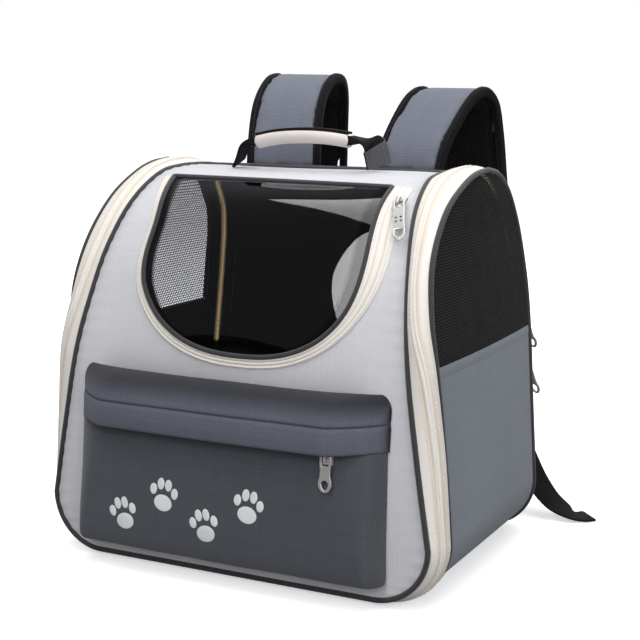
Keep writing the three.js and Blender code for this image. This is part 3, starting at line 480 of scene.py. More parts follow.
weaveGroup, ribGroup = makeWeave(weaveLook), makeRib(ribLook)
wearGroup = makeNoises("softWear", ("Blotch", None, 4.0, 0.6), ("Fuzz", 2600.0, 1.0, 0.5))
grainGroup = makeNoises("mouldGrain", ("Height", None, 2.0, 0.5), ("Smear", 45.0, 3.0, 0.6))


def linear(colour):
    rgb = [c / 255 for c in colour]
    return tuple((c / 12.92 if c <= 0.04045 else ((c + 0.055) / 1.055) ** 2.4) for c in rgb) + (1.0,)


def startMaterial(name):
    material = bpy.data.materials.new(name)
    material.use_nodes = True
    tree = material.node_tree
    return material, tree, tree.nodes["Principled BSDF"], tree.nodes.new("ShaderNodeTexCoord").outputs


def useGroup(tree, group, vector, **values):
    return addNode(tree, "ShaderNodeGroup", {"Vector": vector, **values}, node_tree=group)


def bumped(tree, height, depth, strength):
    return addNode(tree, "ShaderNodeBump", {"Strength": strength, "Distance": depth, "Height": height})[0]


# the edge attribute marks seams, joins and ends, and on the front panel and the hood it also marks painted shade
def edgeMark(tree):
    return addNode(tree, "ShaderNodeAttribute", {}, attribute_name="edge")["Fac"]


clothLook = {"wear": 11.0, "patch": 0.35, "streakDetail": 3.0, "streakRough": 0.7, "fuzzRough": 0.12,
             "fuzzHeight": 0.25, "sheenRough": 0.5, "bump": 0.6}
webbingLook = {"ribs": 640, "wales": 330, "wear": 30.0, "patch": 0.3, "dark": 0.55, "rough": 0.65,
               "fuzzRough": 0.15, "depth": 0.0005, "bump": 0.7}
mouldedLook = {"smearRough": 0.2, "bump": 0.4}
paneLook = {"light": (196, 197, 201), "shade": (188, 190, 195), "hem": (14, 14, 16), "smear": 9.0,
            "smearRough": 0.02, "ior": 1.47, "depth": 0.0012, "bump": 0.2}


# woven cloth: threads per metre, streak along, across and share, edge the tint laid where a piece's edge mark is set
# and its share; on the front panel and the hood that tint paints shade
def clothMaterial(name, base, shade, threads, depth, contrast, blotch, rough=0.85, sheen=0.25, gloss=0.3,
                  streak=None, edge=None, place="UV"):
    p = clothLook
    material, tree, shader, coords = startMaterial(name)
    do = partial(sums, tree)
    weave = useGroup(tree, weaveGroup, coords[place], Across=threads[0], Along=threads[1])
    wear = useGroup(tree, wearGroup, coords["Object"], Scale=p["wear"])
    thread = mixedValue(tree, 0.5, weave["Height"], weave["Yarn"])
    dark = do("MULTIPLY", do("SUBTRACT", 1.0, thread), contrast)
    amount = do("ADD", dark, do("MULTIPLY", do("SUBTRACT", wear["Blotch"], p["patch"]), blotch))
    if streak:
        *stretch, share = streak
        lines = addNode(tree, "ShaderNodeVectorMath", {0: coords[place], 1: (*stretch, 1.0)}, operation="MULTIPLY")
        lines = noise(tree, lines[0], 1.0, p["streakDetail"], p["streakRough"])
        amount = do("ADD", amount, do("MULTIPLY", do("SUBTRACT", lines, 0.5), share))
    amount = addNode(tree, "ShaderNodeClamp", {"Value": amount})[0]
    colour = mixedColour(tree, amount, linear(base), linear(shade))
    if edge:
        tint, share = edge
        colour = mixedColour(tree, do("MULTIPLY", edgeMark(tree), share), colour, linear(tint))
    height = do("MULTIPLY_ADD", wear["Fuzz"], p["fuzzHeight"], weave["Height"])
    worn = do("MULTIPLY_ADD", wear["Fuzz"], p["fuzzRough"], rough - p["fuzzRough"] / 2)
    wire(tree, shader, {"Base Color": colour, "Roughness": worn, "Sheen Weight": sheen,
                        "Sheen Roughness": p["sheenRough"], "Specular IOR Level": gloss,
                        "Normal": bumped(tree, height, depth, p["bump"])})
    return material


def webbingMaterial(name, base, shade, sheen, gloss):
    p = webbingLook
    material, tree, shader, coords = startMaterial(name)
    do = partial(sums, tree)
    rib = useGroup(tree, ribGroup, coords["UV"], Ribs=p["ribs"], Wales=p["wales"])["Height"]
    wear = useGroup(tree, wearGroup, coords["Object"], Scale=p["wear"])
    dark = do("MULTIPLY", do("SUBTRACT", 1.0, rib), p["dark"])
    amount = do("MULTIPLY_ADD", wear["Blotch"], p["patch"], dark)
    wire(tree, shader, {"Base Color": mixedColour(tree, amount, linear(base), linear(shade)),
                        "Roughness": do("MULTIPLY_ADD", wear["Fuzz"], p["fuzzRough"], p["rough"]),
                        "Sheen Weight": sheen, "Specular IOR Level": gloss,
                        "Normal": bumped(tree, rib, p["depth"], p["bump"])})
    return material


def mouldedMaterial(name, base, shade, rough, grain=900.0, metal=0.0, depth=0.00005, coat=0.0, glow=0.0):
    p = mouldedLook
    material, tree, shader, coords = startMaterial(name)
    skin = useGroup(tree, grainGroup, coords["Object"], Scale=grain)
    colour = mixedColour(tree, skin["Smear"], linear(base), linear(shade))
    worn = sums(tree, "MULTIPLY_ADD", skin["Smear"], p["smearRough"], rough - p["smearRough"] / 2)
    wire(tree, shader, {"Base Color": colour, "Roughness": worn, "Metallic": metal, "Coat Weight": coat,
                        "Normal": bumped(tree, skin["Height"], depth, p["bump"])})
    # a glow makes the part shine though it is no lamp: painted light
    if glow:
        wire(tree, shader, {"Emission Color": colour, "Emission Strength": glow})
    return material


# clear sheet with black tape round its back
def clearMaterial(name, p):
    material, tree, shader, coords = startMaterial(name)
    skin = useGroup(tree, grainGroup, coords["Object"], Scale=p["smear"])
    colour = mixedColour(tree, skin["Smear"], linear(p["light"]), linear(p["shade"]))
    wire(tree, shader, {"Base Color": mixedColour(tree, edgeMark(tree), colour, linear(p["hem"])),
                        "Roughness": sums(tree, "MULTIPLY", skin["Smear"], p["smearRough"]),
                        "Transmission Weight": 1.0, "IOR": p["ior"],
                        "Normal": bumped(tree, skin["Height"], p["depth"], p["bump"])})
    return material


plain, fine = (820, 820), 3000.0
# front panel cloth: its edge tint darkens it towards the seams and paints the shade above the hood
lightCloth = clothMaterial("lightCloth", (210, 210, 215), (164, 164, 171), (760, 1500), 0.0003, 0.3, 0.12,
                           streak=(60, 1500, 0.5), edge=((126, 120, 121), 0.6))
creamTape = clothMaterial("creamTape", (233, 229, 224), (204, 196, 186), (1300, 1300), 0.0002, 0.25, 0.1,
                          edge=((208, 192, 170), 0.85))
darkCord = clothMaterial("darkCord", (53, 52, 56), (34, 33, 37), (1500, 1500), 0.0002, 0.3, 0.2, 0.7,
                         place="Object")
# pocket cloth: the side panels' slate fabric in a darker copy, which paints the hood's shade on the pocket
slateCloth = clothMaterial("slateCloth", (76, 80, 87), (43, 45, 51), plain, 0.0004, 0.5, 0.15,
                           edge=((40, 42, 47), 0.6))
# hood cloth: its near-black edge tint darkens the hood's ends, edges and seam, and paints shade over its top
flapCloth = clothMaterial("flapCloth", (98, 101, 114), (62, 65, 75), plain, 0.0004, 0.4, 0.15, sheen=0.1,
                          edge=((13, 14, 20), 0.95))
sideCloth = clothMaterial("sideCloth", (120, 128, 138), (74, 81, 89), plain, 0.0004, 0.4, 0.15,
                          edge=((70, 74, 80), 0.6))
strapCloth = clothMaterial("strapCloth", (111, 115, 128), (70, 74, 85), plain, 0.0004, 0.4, 0.15, sheen=0.15)
blackCloth = clothMaterial("blackCloth", (26, 26, 28), (12, 12, 14), (700, 700), 0.0005, 0.5, 0.2)
# inside faces: the lining is dark cloth, set near black so that it also paints the shade inside the bag
lining = clothMaterial("lining", (13, 13, 15), (6, 6, 7), (900, 900), 0.0003, 0.4, 0.2, sheen=0.0, gloss=0.03)
airMesh = clothMaterial("airMesh", (17, 17, 19), (5, 5, 6), (330, 330), 0.0014, 0.9, 0.15, sheen=0.1, gloss=0.15)
netThread = mouldedMaterial("netThread", (40, 40, 43), (27, 27, 30), 0.7, fine)
stitchDark = mouldedMaterial("stitchDark", (40, 42, 48), (28, 29, 34), 0.7, fine)
stitchPale = mouldedMaterial("stitchPale", (232, 226, 216), (205, 196, 184), 0.7, fine)
# seen from inside, the coil glows: painted light in place of the light that would reach it through the zip
coilTanGlowing = mouldedMaterial("coilTanGlowing", (244, 222, 172), (214, 188, 138), 0.45, 2000.0, glow=0.4)
coilDark = mouldedMaterial("coilDark", (46, 47, 52), (30, 31, 35), 0.4, 2000.0)
blackWebbing = webbingMaterial("blackWebbing", (20, 20, 22), (7, 7, 9), 0.02, 0.12)
greyWebbing = webbingMaterial("greyWebbing", (96, 96, 98), (52, 52, 54), 0.15, 0.35)
gripPlastic = mouldedMaterial("gripPlastic", (226, 218, 216), (208, 199, 196), 0.35, coat=0.25)
bucklePlastic = mouldedMaterial("bucklePlastic", (30, 30, 33), (18, 18, 20), 0.42, depth=0.00012)
zipMetal = mouldedMaterial("zipMetal", (222, 220, 217), (186, 184, 181), 0.28, 2200.0, metal=0.7)
clearPane = clearMaterial("clearPane", paneLook)
printWhite = mouldedMaterial("printWhite", (236, 237, 238), (206, 207, 210), 0.6, 1500.0)
print("materials ready")


# node trees: a round cord along a path, and stitches along a path
def newTree(name, inputs):
    return newGroup(name, "GeometryNodeTree", {"Geometry": "g", **inputs, "Material": "m"}, {"Geometry": "g"})


def endTree(tree, given, result, geometry):
    real = addNode(tree, "GeometryNodeRealizeInstances", {0: geometry})
    shade = addNode(tree, "GeometryNodeSetShadeSmooth", {0: real[0]})
    finish = addNode(tree, "GeometryNodeSetMaterial", {0: shade[0], "Material": given["Material"]})
    wire(tree, result, {0: finish[0]})
    return tree


def makeCordTree():
    tree, given, result = newTree("roundCord", {"Radius": "f", "Sides": "i"})
    path = addNode(tree, "GeometryNodeMeshToCurve", {0: given["Geometry"]})
    ring = addNode(tree, "GeometryNodeCurvePrimitiveCircle",
                   {"Resolution": given["Sides"], "Radius": given["Radius"]})
    sweep = addNode(tree, "GeometryNodeCurveToMesh", {"Curve": path[0], "Profile Curve": ring[0], "Fill Caps": True})
    return endTree(tree, given, result, sweep[0])


def makeStitchTree():
    tree, given, result = newTree("seamStitches", {"Pitch": "f", "Length": "f", "Width": "f"})
    path = addNode(tree, "GeometryNodeMeshToCurve", {0: given["Geometry"]})
    spaced = addNode(tree, "GeometryNodeResampleCurve", {"Curve": path[0], "Length": given["Pitch"]}, mode="LENGTH")
    bead = addNode(tree, "GeometryNodeMeshUVSphere", {"Segments": 6, "Rings": 4, "Radius": 0.5})
    way = addNode(tree, "GeometryNodeInputTangent", {})
    turn = addNode(tree, "FunctionNodeAlignRotationToVector", {"Vector": way[0]}, axis="Z")
    size = addNode(tree, "ShaderNodeCombineXYZ", {0: given["Width"], 1: given["Width"], 2: given["Length"]})
    place = addNode(tree, "GeometryNodeInstanceOnPoints",
                    {"Points": spaced[0], "Instance": bead["Mesh"], "Rotation": turn[0], "Scale": size[0]})
    return endTree(tree, given, result, place[0])


cordTree, stitchTree = makeCordTree(), makeStitchTree()


# paths are polylines in millimetres, each open or closed
def pathMesh(name, paths, closed=False):
    points, edges = [], []
    for path in paths:
        start, count = len(points), len(path)
        points += toFrame(path).tolist()
        edges += [(start + i, start + (i + 1) % count) for i in range(count if closed else count - 1)]
    mesh = bpy.data.meshes.new(name)
    mesh.from_pydata(points, edges, [])
    return mesh


def evaluated(piece):
    return bpy.data.meshes.new_from_object(piece.evaluated_get(bpy.context.evaluated_depsgraph_get()))


def grow(name, tree, mesh, values):
    holder = addObject(name + "Path", mesh)
    grower = holder.modifiers.new("grow", "NODES")
    grower.node_group = tree
    for item in tree.interface.items_tree:
        if item.item_type == "SOCKET" and item.in_out == "INPUT" and item.name in values:
            grower[item.identifier] = values[item.name]
    grown = evaluated(holder)
    grown.name = name
    holder.modifiers.remove(grower)
    bpy.data.objects.remove(holder)
    return grown


def addCord(name, paths, radius, material, node=None, closed=False, sides=10):
    values = {"Radius": radius * mm, "Sides": sides, "Material": material}
    return addPiece(name, grow(name, cordTree, pathMesh(name, paths, closed), values), [material], node)


stitch = {"Pitch": 3.6 * mm, "Length": 2.6 * mm, "Width": 0.7 * mm}


def addStitches(name, paths, material):
    mesh = grow(name, stitchTree, pathMesh(name, paths), {**stitch, "Material": material})
    addPiece(name, mesh, [material])


zipCoil = {"pitch": 1.6, "half": 2.2, "rise": 0.8, "wire": 0.5, "perTurn": 6, "sides": 4}
innerCoil = {**zipCoil, "half": 1.3}


# zip coil: a flattened helix along the path, across its tape
def addCoil(name, points, across, out, size, material):
    run = runLength(points)
    t = np.linspace(0, run[-1], int(run[-1] / size["pitch"]) * size["perTurn"] + 1)
    angle = np.arange(len(t))[:, None] * fullTurn / size["perTurn"]
    line, across, out = (lookUp(t, run, rows) for rows in (points, across, out))
    path = line + unit(across) * np.cos(angle) * size["half"] + unit(out) * np.sin(angle) * size["rise"]
    addCord(name, [path], size["wire"], material, sides=size["sides"])


print("node trees ready")

# front panel: light grey, cut out for the window, puckered at its seams and darker towards them, with painted shade
# above the hood
frontPanel = {"wall": 2, "rows": 181, "columns": 111, "seamSet": 0.5, "pucker": 0.35, "puckerPitch": 11,
              "sway": 1.3, "swayRun": 23, "puckerFade": 9, "soft": 0.5, "softRuns": (31, 47, 38), "softFade": 25,
              "cutIn": 3.4, "seamFade": 3.0, "paintedShade": 0.8, "paintedShadeLevel": 152, "paintedShadeFade": 11, "paintedShadeHalf": 124, "paintedShadeEnd": 30}
windowShape = {"top": 61.5, "wide": 126, "foot": 213, "half": 94, "power": 2.4, "drift": 7, "band": 8.6,
               "straightSteps": 22, "bendSteps": 56, "points": 181, "lean": 7.5, "leanRun": 50, "leanFoot": 8,
               "leanRise": 80, "leftCorner": 4.5, "leftRun": 60, "leftHollow": 5.5, "hollowFoot": 165,
               "hollowPower": 1.3, "topLean": 3.5, "rimLift": 5, "rimTop": 1.6, "rimFoot": 2, "rimRun": 40,
               "cord": 2.0, "dome": 7, "paneWall": 1, "narrowest": 6, "hem": 9, "hemFade": 1.5, "hemFoot": 0.8,
               "zipWall": 1.6, "zipStart": 0.8, "zipRidge": 0.9, "zipLift": 0.7, "zipFade": 0.1, "zipMark": 0.8,
               "markWide": 0.035, "stitchLift": 0.15, "topSteps": 60, "paneColumns": 49, "zipColumns": 25,
               "ridges": 3, "stitchColumns": (4, 21)}


# outline from the top right, round the foot, to the top left: columns x and down, lean widens the right side
def windowOutline(offset, lean=0.0):
    w = windowShape
    straight = np.linspace(w["top"], w["wide"], w["straightSteps"])[:-1]
    angle = np.linspace(0, math.pi / 2, w["bendSteps"])
    power = 2 / w["power"]
    x = np.concatenate([np.full(len(straight), w["half"]), w["half"] * np.clip(np.cos(angle), 0, 1) ** power])
    down = np.concatenate([straight, w["wide"] + (w["foot"] - w["wide"]) * np.sin(angle) ** power])
    loop = np.stack([np.concatenate([x, -x[-2::-1]]), np.concatenate([down, down[-2::-1]])], 1)
    loop = evenly(loop, w["points"])
    way = np.gradient(loop, axis=0)
    out = unit(np.stack([way[:, 1], -way[:, 0]], 1))
    x, down = loop.T
    climb = smooth((w["wide"] - down) / (w["wide"] - w["top"]))
    hollow = np.clip((w["hollowFoot"] - down) / (w["hollowFoot"] - w["top"]), 0, 1)
    hollow = w["leftHollow"] * np.sin(math.pi * hollow) ** w["hollowPower"]
    shift = w["drift"] * (down - w["top"]) / (w["foot"] - w["top"])
    shift += lean * smooth(x / w["leanRun"]) * smooth((w["foot"] - w["leanFoot"] - down) / w["leanRise"])
    shift -= smooth(-x / w["leftRun"]) * (w["leftCorner"] * climb - hollow)
    drop = w["topLean"] * climb * (x / w["half"] + 1) / 2
    return loop + np.stack([shift, drop], 1) + offset * out


def rimAt(down):
    w = windowShape
    high = blend(w["rimTop"], w["rimLift"], smooth((down - w["top"]) / w["rimRun"]))
    return blend(high, w["rimFoot"], smooth((down - w["wide"]) / (w["foot"] - w["wide"])))


def insideLoop(points, loop):
    x, y = points[..., 0], points[..., 1]
    inside = np.zeros(x.shape, bool)
    for (ax, ay), (bx, by) in zip(loop, np.roll(loop, -1, axis=0)):
        crosses = (ay > y) != (by > y)
        inside ^= crosses & (x < (bx - ax) * (y - ay) / (by - ay + 1e-12) + ax)
    return inside


def makeFrontPanel(p):
    grid = panelGrid("front", -1, p["rows"], p["columns"], p["seamSet"])
    x, run = grid[..., 0], runLength(grid[:, 0])[:, None]
    fromSeam = np.abs(x[:, :1]) - np.abs(x)
    pucker = p["pucker"] * np.sin(run * fullTurn / p["puckerPitch"] + p["sway"] * np.sin(run / p["swayRun"]))
    a, b, c = p["softRuns"]
    soft = p["soft"] * np.sin(x / a + run / b) * np.sin(run / c) * smooth(fromSeam / p["softFade"])
    grid = lifted(grid, pucker * np.exp(-fromSeam / p["puckerFade"]) + soft)
    x, z = grid[..., 0], grid[..., 2]
    line = stationsAt("front", np.linspace(0, lastStep, p["rows"]))["seam"]
    up = runLength(line)
    up -= up[np.argmin(np.linalg.norm(line - frontSeamRun[0], axis=1))]  # counted from the seam curve's own start
    place = np.stack([x, np.broadcast_to((frontSeamAlong[-1] - up)[:, None], x.shape)], -1)
    centres = (place[:-1, :-1] + place[1:, :-1] + place[:-1, 1:] + place[1:, 1:]) / 4
    cut = windowOutline(windowShape["band"] - p["cutIn"], windowShape["lean"])
    # darker towards the seams, and a band just above the hood darkened as painted shade where the window's rim and
    # the hood would shade the panel
    paintedShadeMask = np.exp(-np.abs(z - p["paintedShadeLevel"]) / p["paintedShadeFade"]) * smooth((p["paintedShadeHalf"] - np.abs(x)) / p["paintedShadeEnd"])
    edge = np.maximum(np.exp(-fromSeam / p["seamFade"]), p["paintedShade"] * paintedShadeMask)
    piece, area = addSheet("frontPanel", grid, p["wall"], [lightCloth, lining], "front_panel",
                           keep=~insideLoop(centres, cut), edge=edge)


makeFrontPanel(frontPanel)

# back panel: padded black mesh against the wearer, with two stitched grooves
backPanel = {"wall": 6, "rows": 121, "columns": 81, "seamSet": 0.5, "puff": 2.2, "puffFade": 0.08, "groove": 2.4,
             "grooveAt": 0.36, "grooveHalf": 0.022, "grooveFrom": 0.1, "grooveTo": 0.86, "grooveFade": 0.05,
             "stitchFrom": 0.12, "stitchTo": 0.84, "stitchLift": (0, 0.2, 0)}


def makeBackPanel(p):
    t, s = np.linspace(-1, 1, p["columns"])[None], np.linspace(0, 1, p["rows"])[:, None]
    puff = p["puff"] * (1 - t**8) * smooth(s / p["puffFade"]) * smooth((1 - s) / p["puffFade"])
    ends = smooth((s - p["grooveFrom"]) / p["grooveFade"]) * smooth((p["grooveTo"] - s) / p["grooveFade"])
    groove = p["groove"] * bell((np.abs(t) - p["grooveAt"]) / p["grooveHalf"]) * ends
    grid = lifted(panelGrid("back", 1, p["rows"], p["columns"], p["seamSet"]), puff - groove)
    piece, _ = addSheet("backPanel", grid, p["wall"], [airMesh, lining], "back_panel")
    rows = slice(int(p["stitchFrom"] * p["rows"]), int(p["stitchTo"] * p["rows"]))
    columns = [int((1 + x) / 2 * (p["columns"] - 1)) for x in (-p["grooveAt"], p["grooveAt"])]
    addStitches("backStitches", [grid[rows, k] + p["stitchLift"] for k in columns], stitchDark)


makeBackPanel(backPanel)
print("panels made")

# cord sewn round the panels and the sides
piping = {"radius": 2.1, "sides": 12, "steps": 161, "across": 40, "archFrom": 1.4, "archSteps": 150}


def makePipings(p):
    steps, archSteps = np.linspace(0, lastStep, p["steps"]), np.linspace(p["archFrom"], lastStep, p["archSteps"])
    front, back = stationsAt("front", steps)["seam"], stationsAt("back", steps)["seam"][:-2]
    x, y, z = front[-1]
    t = np.linspace(1, -1, p["across"])[1:-1]
    top = np.stack([x * t, np.full_like(t, y), z + swellAt(z) * (1 - t**2)], 1)
    frontFoot, backFoot = (np.linspace(line[0] * mirrorX, line[0], p["across"])[1:-1] for line in (front, back))
    arch = np.vstack([stationsAt("front", archSteps)["edge"], stationsAt("back", archSteps)["edge"][:-1][::-1]])
    cords = [("panelCord", np.vstack([front, top, (front * mirrorX)[::-1], frontFoot]), "panel_piping", True),
             ("backCord", np.vstack([(back * mirrorX)[::-1], backFoot, back]), "back_piping", False)]
    cords += [(f"sideCord.{side}", arch * flip, f"side_piping_{side}", False) for side, flip in bothSides]
    for name, path, node, closed in cords:
        addCord(name, [path], p["radius"], darkCord, node, closed, p["sides"])


makePipings(piping)

# gusset: cream tapes either side of the zip, which lies nearer the front panel in front
gusset = {"perStep": 8, "tapeWall": 1.8, "zipHalf": 2.7, "zipWall": 2.0, "seamReach": 0.8, "forward": 0.12,
          "forwardFrom": 150, "forwardRun": 90, "tapeRise": 0.35, "lipRise": 0.75, "lipLift": 0.1, "zipMark": 0.75,
          "nearZip": 0.2, "nearSeam": 0.12, "seamMark": 0.4, "coilLift": -2.6, "coilEnd": 6, "stitchLift": 0.45,
          "stitchEnd": 10, "stitchAt": 0.75, "leastWide": 0.01, "columns": 9, "tapePower": 0.7, "lipPower": 0.6,
          "footShares": (0.03, 0.97, 12), "footLift": 0.15,
          "footColumns": 61}


def makeGusset(p):
    ring = gussetRing(p["perStep"])
    width = ring["width"][:, None]
    middle = 0.5 - p["forward"] * smooth((p["forwardFrom"] - ring["seam"][:, 1:2]) / p["forwardRun"])
    zipFrom, zipTo = middle - p["zipHalf"] / width, middle + p["zipHalf"] / width
    seamAt = p["seamReach"] / width
    t = np.linspace(0, 1, p["columns"])[None]
    hump = np.abs(np.sin(math.pi * t))
    tapeMark = np.exp(-(1 - t) / p["nearZip"]) + p["seamMark"] * np.exp(-t / p["nearSeam"])
    tapeLift = p["tapeRise"] * hump ** p["tapePower"]
    zipLift = p["lipRise"] * np.abs(np.sin(fullTurn * t)) ** p["lipPower"] + p["lipLift"]
    strips = [("front", seamAt, zipFrom, tapeLift, tapeMark, p["tapeWall"], "cream_tape"),
              ("zip", zipFrom, zipTo, zipLift, p["zipMark"] * (1 - hump) ** 2, p["zipWall"], "zip_coil"),
              ("rear", zipTo, 1 - seamAt, tapeLift, tapeMark[:, ::-1], p["tapeWall"], "cream_tape")]
    coilRows, stitchRows = (slice(p[k], -p[k]) for k in ("coilEnd", "stitchEnd"))
    for side, flip in bothSides:
        for name, start, end, lift, mark, wall, slot in strips:
            grid = gussetPoint(ring, blend(start, end, t), lift) * flip
            piece, area = addSheet(f"gusset.{name}.{side}", grid, wall, [creamTape, lining],
                                   f"gusset_{name}_{side}", edge=mark)
        line = gussetPoint(ring, middle, p["coilLift"])[:, 0]
        line, across, out = (rows[coilRows] * flip for rows in (line, ring["chord"], ring["out"]))
        addCoil(f"gussetCoil.{side}", line, across, out, innerCoil, coilTanGlowing)
        shares = (blend(seamAt, zipFrom, p["stitchAt"]), blend(1 - seamAt, zipTo, p["stitchAt"]))
        runs = [gussetPoint(ring, share, p["stitchLift"])[stitchRows, 0] * flip for share in shares]
        addStitches(f"gussetStitches.{side}", runs, stitchPale)
    share = np.linspace(*p["footShares"])[:, None]
    for name, at in (("front", 0), ("rear", -1)):
        seam, edge = ring["seam"][at], ring["edge"][at]
        half = min(seam[0], edge[0])
        low = blend(seam, edge, share) + ring["out"][at] * (4 * ring["bulge"][at] * share * (1 - share))
        grid = np.repeat(low[None], p["footColumns"], axis=0) + (0, 0, p["footLift"])
        grid[..., 0] = np.linspace(half, -half, p["footColumns"])[:, None]
        piece, area = addSheet(f"gussetBase.{name}", grid, p["tapeWall"], [creamTape, lining],
                               f"gusset_bottom_{name}")


makeGusset(gusset)
print("gusset made")

# sides: cloth below, hem, net above
sides = {"clothWall": 2, "hemWall": 3, "clothTop": 7.95, "hemFoot": 7.86, "hemHead": 8.16, "inset": 0.5,
         "netTop": 19.6, "netFoot": 8.05, "hemRise": 0.4, "hemTurn": 0.15, "fadeTop": 19.5, "fadeRun": 3,
         "probe": 0.05, "columns": 81, "clothRows": 97, "hemRows": 7, "soft": 0.8, "softWaves": (7, 2.2, 3.1),
         "softFrom": 0.4, "softRun": 0.2,
         "edgeFade": 60}
net = {"rows": 2.1, "columns": 2.6, "wave": 0.18, "thread": 0.41, "sides": 4, "middle": (116, 230),
       "scale": (116, 80), "order": 6, "sink": 0.6, "past": (4, 2), "fitGrid": (90, 60), "areaGrid": (60, 40)}


def sideGrid(first, last, rows, columns):
    steps, p = np.linspace(first, last, rows), sides
    lines = []
    for side, facing in (("front", 1), ("back", -1)):
        edge, ahead, behind = (stationsAt(side, np.maximum(steps + k, 0))["edge"]
                               for k in (0, p["probe"], -p["probe"]))
        way = unit(ahead - behind)
        inward = np.stack([0 * steps, facing * way[:, 2], -facing * way[:, 1]], 1)
        inward[steps < cornerSteps] = (0, facing, 0)
        lines.append((edge + unit(inward) * p["inset"])[:, None])
    t = np.linspace(0, 1, columns)[None, :, None]
    grid = blend(*lines, t)
    fade = smooth(grid[..., 2] / bagShape["swellFoot"]) * smooth((p["fadeTop"] - steps) / p["fadeRun"])[:, None]
    grid[..., 0] += 4 * bagShape["sideSwell"] * (t * (1 - t))[..., 0] * fade
    return grid


# brick-like net in the side's own plane, on a surface fitted to the side's arch
def netPaths(p):
    grid = sideGrid(sides["netFoot"], sides["netTop"], *p["fitGrid"])
    flat = grid.reshape(-1, 3)
    powers = [(i, j) for i in range(p["order"] + 1) for j in range(p["order"] + 1 - i)]

    def terms(line):
        y, z = ((line - p["middle"]) / p["scale"]).T
        return np.stack([y**i * z**j for i, j in powers], 1)

    fit = np.linalg.lstsq(terms(flat[:, 1:]), flat[:, 0], rcond=None)[0]
    outline = np.vstack([grid[:, 0], grid[::-1, -1]])[:, 1:]
    low, high = flat[:, 1:].min(axis=0) - p["past"], flat[:, 1:].max(axis=0) + p["past"]
    columns, levels = np.arange(low[0], high[0], p["columns"] / 2), np.arange(low[1], high[1], p["rows"])
    lines = []
    for k, level in enumerate(levels):
        wave = p["wave"] * np.where(np.arange(len(columns)) % 2 == k % 2, 1, -1)
        line = np.stack([columns, level + wave], 1)
        within = insideLoop(line, outline)
        if within.sum() > 1:
            lines.append(line[within])
        for y in columns[k % 2::2] if k + 1 < len(levels) else ():
            post = np.array([[y, level + p["wave"]], [y, levels[k + 1] - p["wave"]]])
            if insideLoop(post, outline).all():
                lines.append(post)
    return [np.column_stack([terms(line) @ fit - p["sink"], line]) for line in lines]


def makeSides(p):
    t, s = np.linspace(0, 1, p["columns"])[None], np.linspace(0, 1, p["clothRows"])[:, None]
    a, b, c = p["softWaves"]
    soft = p["soft"] * np.sin(a * t + b * s) * np.sin(c * s) * np.sin(math.pi * t)
    cloth = lifted(sideGrid(0, p["clothTop"], p["clothRows"], p["columns"]),
                   soft * smooth((s - p["softFrom"]) / p["softRun"]))
    fold = p["hemRise"] * np.sin(np.linspace(p["hemTurn"], math.pi - p["hemTurn"], p["hemRows"]))[:, None]
    hem = lifted(sideGrid(p["hemFoot"], p["hemHead"], p["hemRows"], p["columns"]), fold)
    threads = netPaths(net)
    opening = sideGrid(p["netFoot"], p["netTop"], *net["areaGrid"])
    edge = np.exp(-np.minimum(t, 1 - t) * p["edgeFade"])
    for side, flip in bothSides:
        piece, area = addSheet(f"sidePanel.{side}", cloth * flip, p["clothWall"], [sideCloth, lining],
                               f"side_panel_{side}", edge=edge)
        addSheet(f"sideHem.{side}", hem * flip, p["hemWall"], [sideCloth, lining],
                 f"side_hem_{side}")
        piece = addCord(f"sideNet.{side}", [path * flip for path in threads], net["thread"], netThread,
                        f"side_mesh_{side}", sides=net["sides"])


makeSides(sides)

# floor of the cabin, seen from below
basePanel = {"half": 120.4, "front": 31.5, "back": 216.5, "wall": 3, "lift": 0.3, "rimLift": 0.5, "rimRun": 6,
             "columns": 41, "rows": 33}


def makeBase(p):
    x = np.linspace(-p["half"], p["half"], p["columns"])[None]
    y = np.linspace(p["front"], p["back"], p["rows"])[:, None]
    inward = np.minimum(p["half"] - np.abs(x), np.minimum(y - p["front"], p["back"] - y))
    rim = 1 - smooth(inward / p["rimRun"])
    grid = np.stack(np.broadcast_arrays(x, y, p["lift"] + p["rimLift"] * rim), -1)
    piece, _ = addSheet("basePanel", grid, p["wall"], [sideCloth, lining], "bottom_panel", edge=rim)


makeBase(basePanel)
print("sides and base made")


